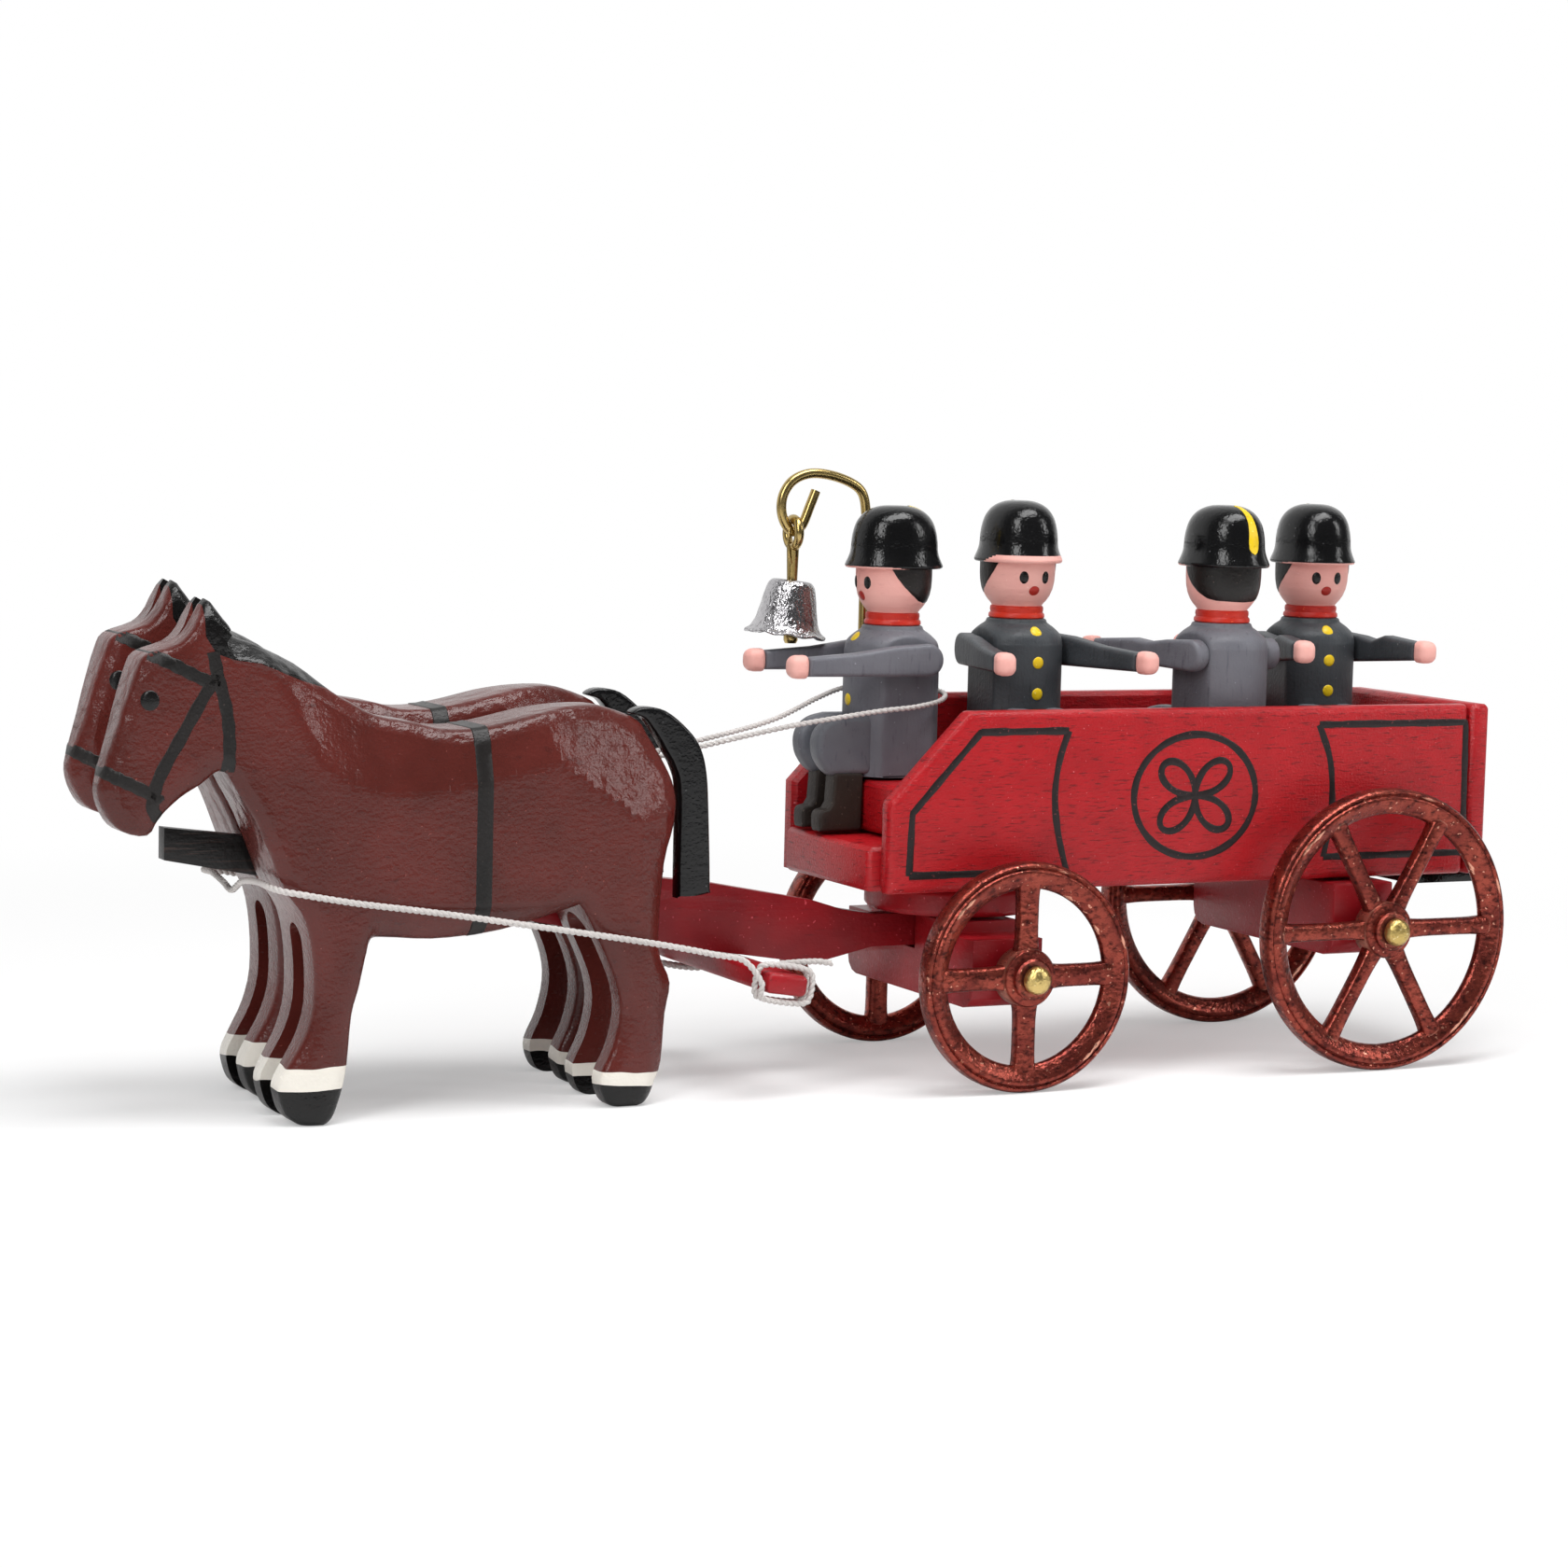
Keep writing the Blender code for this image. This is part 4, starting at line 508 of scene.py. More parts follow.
def dress(thing: bpy.types.Object, finish: Finish, body: str, *nodes: str) -> bpy.types.Object:
    """Gives a piece its finish, its body and the solids that it stands for.

    Args:
        thing: The piece.
        finish: Its finish.
        body: The body that it rides on.
        nodes: The solids that it replaces.

    Returns:
        The piece.
    """
    thing.data.materials.clear()
    thing.data.materials.append(finish.material())
    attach(thing, body)
    if nodes:
        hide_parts(*nodes)
    LOG.info("%s: %d faces", thing.name, len(thing.data.polygons))
    return thing


def piece(name: str, surface: Surface, finish: Finish, body: str, *nodes: str) -> bpy.types.Object:
    """Makes a surface into a piece and dresses it.

    Args:
        name: The piece's name.
        surface: Its points and faces.
        finish: Its finish.
        body: The body that it rides on.
        nodes: The solids that it replaces.

    Returns:
        The piece.
    """
    return dress(make_object(name, *surface), finish, body, *nodes)


def circle(steps: int) -> np.ndarray:
    """Divides a full turn evenly into angles, without its end."""
    return np.arange(steps) * 2 * np.pi / steps


def turning(angle: float, axis: str) -> np.ndarray:
    """Gives the matrix that turns points about an axis, by an angle in radians."""
    return np.array(Matrix.Rotation(angle, 3, axis))


def grid_faces(rows: int, columns: int, closed: bool) -> list:
    """Numbers the faces of a grid of points, row by row.

    Args:
        rows: Rows of points.
        columns: Points in a row.
        closed: Whether each row joins up with its own start.

    Returns:
        Four point numbers for each face.
    """
    across = np.arange(columns if closed else columns - 1)
    start = np.arange(rows - 1)[:, None] * columns
    after = (across + 1) % columns
    faces = np.stack([start + across, start + after, start + columns + after,
                      start + columns + across], axis=-1)
    return faces.reshape(-1, 4).tolist()


def joined(surfaces: list[Surface]) -> Surface:
    """Joins surfaces into one, renumbering their faces.

    Args:
        surfaces: Points and faces of each.

    Returns:
        The points and faces of all.
    """
    faces, start = [], 0
    for points, own in surfaces:
        faces += [[start + corner for corner in face] for face in own]
        start += len(points)
    return np.concatenate([points for points, _ in surfaces]), faces


def smooth_line(points: np.ndarray | tuple, count: int, closed: bool = False) -> np.ndarray:
    """Runs a smooth curve through points: the Catmull-Rom cubic between each two of them.

    Args:
        points: The points, one row each.
        count: Steps between two of them.
        closed: Whether the curve joins up with its start.

    Returns:
        Points along the curve.
    """
    given = np.asarray(points, float)
    if closed:
        nodes = np.concatenate([given[-1:], given, given[:2]])
    else:
        nodes = np.concatenate([2 * given[:1] - given[1:2], given, 2 * given[-1:] - given[-2:-1]])
    before, start, end, after = (nodes[i:len(nodes) - 3 + i, None] for i in range(4))
    t = (np.arange(count) / count)[None, :, None]
    curve = 0.5 * (2 * start + (end - before) * t + (2 * before - 5 * start + 4 * end - after) * t ** 2
                   + (3 * start - 3 * end + after - before) * t ** 3)
    curve = curve.reshape(-1, given.shape[1])
    return curve if closed else np.concatenate([curve, given[-1:]])


def turned(profile: np.ndarray | tuple, steps: int = 64) -> Surface:
    """Turns a profile about Z: each point (radius, height) becomes a circle of that radius.

    Args:
        profile: Radius and height of each point.
        steps: Points round each circle.

    Returns:
        Points and faces.
    """
    line = np.asarray(profile, float)
    angle = circle(steps)
    x = line[:, :1] * np.cos(angle)
    y = line[:, :1] * np.sin(angle)
    z = np.repeat(line[:, 1:], steps, axis=1)
    return np.stack([x, y, z], axis=-1).reshape(-1, 3), grid_faces(len(line), steps, True)


def frames_along(path: np.ndarray) -> tuple[np.ndarray, np.ndarray]:
    """Carries a pair of square directions along a path without twisting them.

    Each direction is the one before it, less its part along the path's own direction, so this
    goes from point to point.

    Args:
        path: Points along the path.

    Returns:
        The two directions at each point.
    """
    along = np.gradient(path, axis=0)
    along /= np.linalg.norm(along, axis=1, keepdims=True)
    normal = np.zeros_like(path)
    guess = np.array([0.0, 0.0, 1.0]) if abs(along[0, 2]) < 0.9 else np.array([1.0, 0.0, 0.0])
    for i, heading in enumerate(along):
        guess = guess - (guess @ heading) * heading
        guess /= np.linalg.norm(guess)
        normal[i] = guess
    return normal, np.cross(along, normal)


def tube(path: np.ndarray, radius: float | np.ndarray, sides: int = 16) -> Surface:
    """Carries a circle along a path, with its ends closed by circles of no radius.

    Args:
        path: Points along the path.
        radius: The tube's radius, or one for each point.
        sides: Points round the tube.

    Returns:
        Points and faces.
    """
    normal, square = frames_along(path)
    angle = circle(sides)
    reach = np.broadcast_to(np.asarray(radius, float), len(path))
    ring = (normal[:, None] * np.cos(angle)[None, :, None]
            + square[:, None] * np.sin(angle)[None, :, None])
    points = path[:, None] + ring * reach[:, None, None]
    ends = [np.repeat(path[None, i], sides, axis=0)[None] for i in (0, -1)]
    points = np.concatenate([ends[0], points, ends[1]])
    return points.reshape(-1, 3), grid_faces(len(path) + 2, sides, True)


def divided(outline: np.ndarray, step: float, closed: bool = True) -> np.ndarray:
    """Divides each side of an outline evenly, into pieces no longer than a step.

    Args:
        outline: The outline's corners.
        step: The longest piece.
        closed: Whether the last corner joins up with the first.

    Returns:
        Points along the outline.
    """
    run = np.roll(outline, -1, axis=0) - outline
    counts = np.maximum(1, np.ceil(np.linalg.norm(run, axis=1) / step)).astype(int)
    if not closed:
        counts[-1] = 1
    index = np.repeat(np.arange(len(outline)), counts)
    first = np.repeat(np.cumsum(counts) - counts, counts)
    share = (np.arange(len(index)) - first) / counts[index]
    return outline[index] + run[index] * share[:, None]


def edge_distance(places: np.ndarray, outline: np.ndarray) -> np.ndarray:
    """Measures how far places lie from a closed outline, to the nearest of its sides.

    Args:
        places: Flat places.
        outline: The outline's corners.

    Returns:
        One distance for each place.
    """
    run = np.roll(outline, -1, axis=0) - outline
    offset = places[:, None] - outline[None]
    share = np.clip((offset * run).sum(2) / (run * run).sum(1), 0, 1)
    return np.linalg.norm(offset - share[..., None] * run, axis=2).min(axis=1)


def is_inside(places: np.ndarray, outline: np.ndarray) -> np.ndarray:
    """Tells which places lie inside an outline: a level ray crosses it an odd number of times.

    Args:
        places: Flat places.
        outline: The outline's corners.

    Returns:
        True or false for each place.
    """
    start, end = outline, np.roll(outline, -1, axis=0)
    across, up = places[:, 0, None], places[:, 1, None]
    spans = (start[:, 1] > up) != (end[:, 1] > up)
    rise = np.where(end[:, 1] == start[:, 1], 1.0, end[:, 1] - start[:, 1])
    crossing = start[:, 0] + (up - start[:, 1]) / rise * (end[:, 0] - start[:, 0])
    return (spans & (across < crossing)).sum(axis=1) % 2 == 1


def rounding(depth: np.ndarray, radius: float) -> np.ndarray:
    """Gives the drop of a quarter-round edge at a depth inside it.

    Args:
        depth: Distances from the edge.
        radius: The edge's radius.

    Returns:
        How far the face lies below its full height there.
    """
    inset = np.clip(radius - depth, 0.0, radius)
    return radius - np.sqrt(radius ** 2 - inset ** 2)


def ribbon(middle: np.ndarray, across: np.ndarray, waver: np.ndarray) -> np.ndarray:
    """Lays flat places square across a line, at distances that waver along it.

    Args:
        middle: Points along the line.
        across: Distances to one side.
        waver: What they are multiplied by at each point.

    Returns:
        Places, by point and distance.
    """
    along = np.gradient(middle, axis=0)
    along /= np.linalg.norm(along, axis=1, keepdims=True)
    square = np.stack([-along[:, 1], along[:, 0]], axis=1)
    return middle[:, None] + square[:, None] * across[None, :, None] * waver[:, None, None]


# Rings of points inside a sawn outline, as shares of its rounded edge, and what is kept clear of it
RINGS = (0.1, 0.3, 0.6, 1.0)
RING_ROOM = 0.94
# Spacing of the points on the rest of the face, and how far they keep off the rings, in steps
LATTICE = 1.6
LATTICE_ROOM = 0.7


def sawn(outline: np.ndarray | tuple, half_width: Callable[[np.ndarray], np.ndarray] | float,
         edge: float, step: float, drop: Callable[[np.ndarray], np.ndarray] | None = None,
         folds: tuple = ()) -> Surface:
    """Builds a piece sawn from a board: an outline in X and Z, rounded over along both faces.

    Each face is the half-width at a place less the drop of the rounded edge, over a mesh of
    triangles that follows the outline. The two faces are joined along the outline.

    Args:
        outline: The outline's corners.
        half_width: Half the thickness, or a function that gives it at places.
        edge: Radius of the rounded edges.
        step: Size of the mesh.
        drop: The edge's drop at distances from the outline, if it isn't a plain quarter round.
        folds: Lines across the face that the mesh follows, where the half-width folds.

    Returns:
        Points and faces, with the middle of the board at Y = 0.
    """
    corners = np.asarray(outline, float)
    rim = divided(corners, step)
    tangent = np.roll(rim, -1, axis=0) - np.roll(rim, 1, axis=0)
    inward = np.stack([-tangent[:, 1], tangent[:, 0]], axis=1)
    inward /= np.maximum(np.linalg.norm(inward, axis=1, keepdims=True), 1e-12)
    area = (corners[:, 0] * np.roll(corners[:, 1], -1) - np.roll(corners[:, 0], -1) * corners[:, 1])
    inward *= np.sign(area.sum())
    flat = [rim]
    for share in RINGS:
        ring = rim + inward * edge * share
        keep = (edge_distance(ring, corners) > RING_ROOM * edge * share) & is_inside(ring, corners)
        flat.append(ring[keep])
    low, high = corners.min(0), corners.max(0)
    lattice = np.stack(np.meshgrid(np.arange(low[0], high[0], step * LATTICE),
                                   np.arange(low[1], high[1], step * LATTICE)), -1).reshape(-1, 2)
    lattice = lattice[is_inside(lattice, corners)]
    flat.append(lattice[edge_distance(lattice, corners) > edge + step * LATTICE_ROOM])
    count = len(rim)
    sides = [(i, (i + 1) % count) for i in range(count)]
    for fold in folds:
        line = divided(np.asarray(fold, float), step, closed=False)
        line = line[is_inside(line, corners)]
        line = line[edge_distance(line, corners) > edge]
        start = sum(len(points) for points in flat)
        sides += [(start + i, start + i + 1) for i in range(len(line) - 1)]
        flat.append(line)
    # The triangulation works in millimetres, kept inside the outline
    places = [Vector(place) for place in (np.concatenate(flat) / MM).tolist()]
    mesh = delaunay_2d_cdt(places, sides, [], 1, 1e-5)
    plane = np.array([place[:] for place in mesh[0]]) * MM
    triangles = np.array(mesh[2])
    wide = half_width(plane) if callable(half_width) else np.full(len(plane), half_width)
    depth = edge_distance(plane, corners)
    height = wide - (drop(depth) if drop else rounding(depth, edge))
    near = np.stack([plane[:, 0], -height, plane[:, 1]], axis=1)
    far = np.stack([plane[:, 0], height, plane[:, 1]], axis=1)
    # A side used by one triangle only is on the border, where a strip joins the two faces
    pairs = np.concatenate([triangles[:, [0, 1]], triangles[:, [1, 2]], triangles[:, [2, 0]]])
    _, index, uses = np.unique(np.sort(pairs, axis=1), axis=0, return_index=True, return_counts=True)
    border = pairs[index[uses == 1]]
    total = len(plane)
    strip = np.stack([border[:, 0], border[:, 1], border[:, 1] + total, border[:, 0] + total], axis=1)
    faces = triangles.tolist() + (triangles[:, ::-1] + total).tolist() + strip.tolist()
    return np.concatenate([near, far]), faces


def evaluated(thing: bpy.types.Object) -> bpy.types.Mesh:
    """Works out a piece's mesh with its modifiers applied, and clears them.

    Args:
        thing: The piece, with live modifiers.

    Returns:
        The new mesh.
    """
    bpy.context.view_layer.update()
    graph = bpy.context.evaluated_depsgraph_get()
    mesh = bpy.data.meshes.new_from_object(thing.evaluated_get(graph))
    thing.modifiers.clear()
    return mesh


def softened(node: str, width: float, finish: Finish, body: str) -> None:
    """Replaces a solid by a copy whose flat faces are joined and whose edges are rounded.

    Args:
        node: The solid's name.
        width: Width of the rounding.
        finish: The piece's finish.
        body: The body that it rides on.
    """
    work = bmesh.new()
    work.from_mesh(bpy.data.objects[node].data)
    bmesh.ops.remove_doubles(work, verts=work.verts, dist=WELD)
    bmesh.ops.dissolve_limit(work, angle_limit=math.radians(FLAT), verts=work.verts,
                             edges=work.edges)
    mesh = bpy.data.meshes.new(node + "_finished")
    work.to_mesh(mesh)
    work.free()
    thing = placed(node + "_finished", mesh)
    bevel = thing.modifiers.new("edges", "BEVEL")
    bevel.width = width
    bevel.segments = 3
    bevel.limit_method = "ANGLE"
    bevel.angle_limit = math.radians(ROUNDED)
    thing.data = evaluated(thing)
    thing.data.shade_smooth()
    thing.data.set_sharp_from_angle(angle=math.radians(CRISP))
    dress(thing, finish, body, node)


@dataclass
class WagonBody:
    """The boards, seats, step, bolsters and turntable, with the lines painted on the sides."""

    thin_edge: float = 0.0001
    edge: float = 0.00022
    board_edge: float = 0.0004
    worn_edge: float = 0.0008
    board_y: float = 0.0123
    line_width: float = 0.00082
    line_lift: float = 0.00004
    line_step: float = 0.0003
    line_across: tuple[float, ...] = (-0.5, -0.42, 0.0, 0.42, 0.5)
    line_rise: tuple[float, ...] = (-0.5, 0.7, 1.0, 0.7, -0.5)
    long_waver: Pair = (0.07, 0.0013)
    short_waver: Pair = (0.05, 0.0005)
    petal_reach: float = 0.74

    def boards(self) -> None:
        """Rounds the edges of every board and paints them."""
        for nodes, width, finish, body in (
                (("side_board_near", "side_board_far", "rear_board", "bench_near", "bench_far"),
                 self.board_edge, RED_ENAMEL, WAGON),
                (("floor_board", "driver_seat"), self.worn_edge, RED_ENAMEL, WAGON),
                (("rear_bolster", "turntable_disc"), self.edge, DARKER_RED, WAGON),
                (("rear_step",), self.thin_edge, BLACK_GLOSS, WAGON),
                (("steering_pin",), self.thin_edge, BRASS, WAGON),
                (("front_bolster",), self.edge, DARKER_RED, CARRIAGE)):
            for node in nodes:
                softened(node, width, finish, body)

    def line(self, route: np.ndarray, seed: float) -> Surface:
        """Draws one brushed line on the board: a flat strip whose width wavers with two sines.

        Args:
            route: Corners of the line in X and Z, from end to end.
            seed: Start of the waver.

        Returns:
            Points and faces of the strip, its middle raised by the paint's thickness.
        """
        run = np.linalg.norm(np.diff(route, axis=0), axis=1)
        length = np.concatenate([[0.0], np.cumsum(run)])
        at = np.linspace(0.0, length[-1], max(8, int(length[-1] / self.line_step)))
        middle = np.stack([np.interp(at, length, route[:, k]) for k in (0, 1)], axis=1)
        (much, wave), (little, ripple) = self.long_waver, self.short_waver
        waver = 1.0 + much * np.sin(at / wave + seed) + little * np.sin(at / ripple + 2 * seed)
        flat = ribbon(middle, np.array(self.line_across) * self.line_width, waver)
        high = np.broadcast_to(self.board_y + np.array(self.line_rise) * self.line_lift, flat.shape[:2])
        points = np.stack([flat[..., 0], high, flat[..., 1]], axis=-1)
        return points.reshape(-1, 3), grid_faces(*flat.shape[:2], False)

    def rosette(self, centre: Pair, half: Pair) -> list[np.ndarray]:
        """Lays out a plain ornament: an oval ring round four petals, drawn in the same line.

        The petals are one curve, whose radius is a share of the sine of twice the angle.

        Args:
            centre: Middle of the ornament in X and Z, in millimetres.
            half: Half its length and half its height, in millimetres.

        Returns:
            The lines' corners.
        """
        turn = np.linspace(0.0, 2 * np.pi, 97)
        middle, size = np.array(centre) * MM, np.array(half) * MM
        round_it = np.stack([np.cos(turn), np.sin(turn)], axis=1)
        radius = self.petal_reach * np.sin(2 * turn)
        return [middle + size * round_it, middle + size * (radius[:, None] * round_it)]

    def lining(self) -> None:
        """Paints the two frames and the ornament on both side boards, laid out in millimetres."""
        front, foot, rear = (np.array(route) * MM for route in (
            ((4.7, 21.9), (4.9, 28.2), (12.5, 36.3), (22.7, 36.3)), ((22.9, 21.9), (4.7, 21.9)),
            ((53.2, 36.5), (72.0, 36.5), (72.2, 26.4), (72.2, 22.4), (54.3, 22.4))))
        hollow, swell = (smooth_line(np.array(route) * MM, 12) for route in (
            ((22.7, 36.3), (21.7, 33.2), (21.3, 29.6), (21.8, 25.8), (22.9, 21.9)),
            ((54.3, 22.4), (55.1, 26.4), (55.1, 30.0), (54.6, 33.2), (53.2, 36.5))))
        lines = [front, hollow, foot, rear, swell, *self.rosette((38.1, 29.3), (7.4, 6.4))]
        points, faces = joined([self.line(route, seed) for seed, route in enumerate(lines)])
        for side in Side:
            piece("lining_" + side.word, (points * np.array([1.0, side.value, 1.0]), faces),
                  LINE_BLACK, WAGON)

    def build(self) -> None:
        """Builds the wagon's body."""
        self.boards()
        self.lining()


# Section of a wheel's rim. On the tread side: depth under the tread and share of the rim's
# half-width, with a groove beside the ridge. On the inner side: height over the inner circle.
RIM_TREAD = ((0.0, 0.50), (0.00020, 0.84), (0.00042, 0.93), (0.00062, 0.80), (0.00085, 0.97),
             (0.00115, 1.0), (0.00150, 0.90))
RIM_INNER = ((0.0006, 0.62), (0.00015, 0.36), (0.0, 0.12))


@dataclass
class Wheel:
    """A cast spoked wheel on a domed brass nail."""

    place_word: str
    side: Side
    nail_body: str
    axle_x: float
    radius: float
    spokes: int
    spoke_width: float
    plane_y: float = 0.01625
    rim_depth: float = 0.0027
    rim_half: float = 0.0013
    rim_sink: float = 0.0010
    hub_sink: float = 0.0008
    spoke_half: float = 0.00085
    spoke_flare: float = 0.30
    spoke_swell: float = 0.15
    hub_radius: float = 0.0030
    boss_radius: float = 0.0021
    hub_outer: float = 0.00205
    hub_inner: float = -0.00195
    nail_radius: float = 0.00145
    nail_height: float = 0.0013
    nail_gap: float = 0.0003
    dome_foot: float = 0.2
    stem_radius: float = 0.0006
    stem_end: float = -0.0070

    def spoke(self, turn: float) -> Surface:
        """Builds one spoke: a squarish oval carried outwards, thinner in its middle.

        Both its half-sizes grow with the fourth power of the distance from its middle. The oval is
        the cosine and the sine of the angle, each raised to the power 0.6 with its sign kept.

        Args:
            turn: Its angle about the axle.

        Returns:
            Points and faces, about Z.
        """
        start, end = self.hub_radius - self.hub_sink, self.radius - self.rim_depth + self.rim_sink
        rows, sides = 24, 20
        reach = np.linspace(start, end, rows)
        share = (reach - start) / (end - start)
        half = self.spoke_width / 2 * (1.0 + self.spoke_flare * (2 * share - 1) ** 4)
        thick = self.spoke_half * (1.0 + self.spoke_swell * (2 * share - 1) ** 4)
        angle = circle(sides)
        wide, deep = (np.sign(wave) * np.abs(wave) ** 0.6 for wave in (np.cos(angle), np.sin(angle)))
        x = np.repeat(reach[:, None], sides, axis=1)
        y = half[:, None] * wide
        z = thick[:, None] * deep
        ends = [np.stack([x[i], y[i] * 0, z[i] * 0], axis=-1)[None] for i in (0, -1)]
        points = np.concatenate([ends[0], np.stack([x, y, z], axis=-1), ends[1]]).reshape(-1, 3)
        return points @ turning(turn, "Z").T, grid_faces(rows + 2, sides, True)

    def casting(self) -> Surface:
        """Joins the rim, hub and spokes; the rim's section is a D with a ridge to the outside.

        Returns:
            Points and faces about Z, with the outer side up.
        """
        tread, inner, half = self.radius, self.radius - self.rim_depth, self.rim_half
        section = [(tread - depth, half * share) for depth, share in RIM_TREAD]
        section += [(inner + rise, half * share) for rise, share in RIM_INNER]
        section += [(radius, -height) for radius, height in reversed(section)]
        rim = smooth_line(section, 3, closed=True)
        # Radius and height of the hub's corners, from its outer face to its inner one
        hub = [(0.0, self.hub_outer), (self.boss_radius * 0.9, self.hub_outer),
               (self.boss_radius, self.hub_outer - 0.0002), (self.boss_radius, 0.0013),
               (self.hub_radius - 0.0002, 0.0012), (self.hub_radius, 0.0009),
               (self.hub_radius, -0.0011), (self.boss_radius, -0.0012),
               (self.boss_radius, self.hub_inner), (0.0, self.hub_inner)]
        parts = [turned(np.concatenate([rim, rim[:1]]), 144), turned(hub, 48)]
        parts += [self.spoke(2 * math.pi * i / self.spokes) for i in range(self.spokes)]
        return joined(parts)

    def nail(self) -> Surface:
        """Turns the nail: a dome whose height follows the sine of its angle, over a thin stem.

        Returns:
            Points and faces about Z, with the head up.
        """
        head = self.hub_outer + self.nail_gap
        dome = np.linspace(np.pi / 2, 0.0, 12)
        rise = self.dome_foot + (1 - self.dome_foot) * np.sin(dome)
        cap = np.stack([self.nail_radius * np.cos(dome), head + self.nail_height * rise], axis=1)
        stem = np.array([(self.nail_radius, head), (self.stem_radius, head),
                         (self.stem_radius, self.stem_end), (0.0, self.stem_end)])
        return turned(np.concatenate([cap, stem]), 40)

    def place(self, surface: Surface) -> Surface:
        """Turns a surface about Z onto the axle, with its upper side to the outside.

        Args:
            surface: Points and faces about Z.

        Returns:
            Points and faces on the wagon.
        """
        points, faces = surface
        out = self.side.value * (self.plane_y + points[:, 2])
        return np.stack([self.axle_x + points[:, 0], out, self.radius + points[:, 1]], axis=1), faces

    def build(self) -> None:
        """Casts the wheel and drives its nail."""
        wheel, nail = (self.place_word + word + self.side.word for word in ("_wheel_", "_nail_"))
        piece(wheel + "_casting", self.place(self.casting()), COPPER, wheel + "_body", wheel)
        piece(nail + "_domed", self.place(self.nail()), NAIL_BRASS, self.nail_body, nail)


# Sawn outlines of the horse and of its tail, in distance behind the nose and height
HORSE_OUTLINE = hundredths((980, 4960), (840, 4690), (700, 4550), (410, 4450), (320, 4300), (230, 4020),
    (140, 3700), (40, 3380), (0, 3170), (70, 2960), (210, 2810), (440, 2770), (550, 2940), (740, 3120),
    (930, 3240), (1130, 3370), (1270, 3180), (1440, 2890), (1590, 2540), (1720, 2240), (1900, 1970),
    (1980, 1600), (1990, 1150), (1910, 840), (1770, 580), (1680, 400), (1690, 260), (1750, 110),
    (1860, 20), (1960, 0), (2100, 0), (2190, 70), (2250, 220), (2300, 400), (2330, 580), (2370, 1040),
    (2440, 1300), (2540, 1700), (2700, 1750), (3220, 1710), (3770, 1750), (4170, 1840), (4610, 1980),
    (4720, 1970), (4960, 1520), (5100, 1180), (5130, 900), (5060, 590), (4940, 330), (4950, 170),
    (5020, 40), (5130, 0), (5330, 0), (5450, 70), (5530, 220), (5610, 420), (5650, 890), (5710, 1190),
    (5590, 1440), (5560, 1700), (5620, 2370), (5740, 2750), (5760, 3090), (5680, 3330), (5520, 3610),
    (5410, 3770), (5060, 3900), (4850, 3930), (4530, 3910), (4210, 3850), (3900, 3780), (3590, 3730),
    (3280, 3730), (3030, 3790), (2650, 3860), (2390, 3990), (2190, 4100), (1870, 4350), (1430, 4550),
    (1280, 4610), (1130, 4780))
TAIL_OUTLINE = hundredths((5360, 3830), (5480, 3890), (5720, 3850), (5970, 3660), (6110, 3470),
    (6180, 3210), (6210, 2810), (6240, 2120), (6220, 2020), (5930, 2000), (5900, 2080), (5890, 3000),
    (5840, 3260), (5720, 3470), (5610, 3640), (5490, 3780))
# Knife-cut break between the flat flank and the sloping neck and back, in distance behind the
# nose and height
CREASE = hundredths((1260, 4400), (1530, 4050), (1800, 3680), (2050, 3380), (2420, 3180), (2790, 3120),
    (3350, 3150), (3860, 3260), (4420, 3390), (4790, 3920), (5760, 5000))
# Distance behind the nose and the half-width there
REACH_WIDTH = hundredths((0, 170), (200, 260), (550, 330), (1200, 370), (1650, 460), (2030, 540),
    (5760, 540))

# Straps painted on each side of the head, in distance behind the nose and height
STRAPS = {
    "cheek": hundredths((530, 2920), (460, 3060), (520, 3320), (730, 3710), (960, 4120), (1060, 4260)),
    "throat": hundredths((1170, 3360), (1170, 3660), (1140, 3940), (1060, 4240), (1010, 4480)),
    "brow": hundredths((430, 4455), (560, 4400), (740, 4310), (930, 4220), (1080, 4180)),
    "nose": hundredths((35, 3370), (140, 3310), (290, 3240), (460, 3150), (530, 3080)),
}


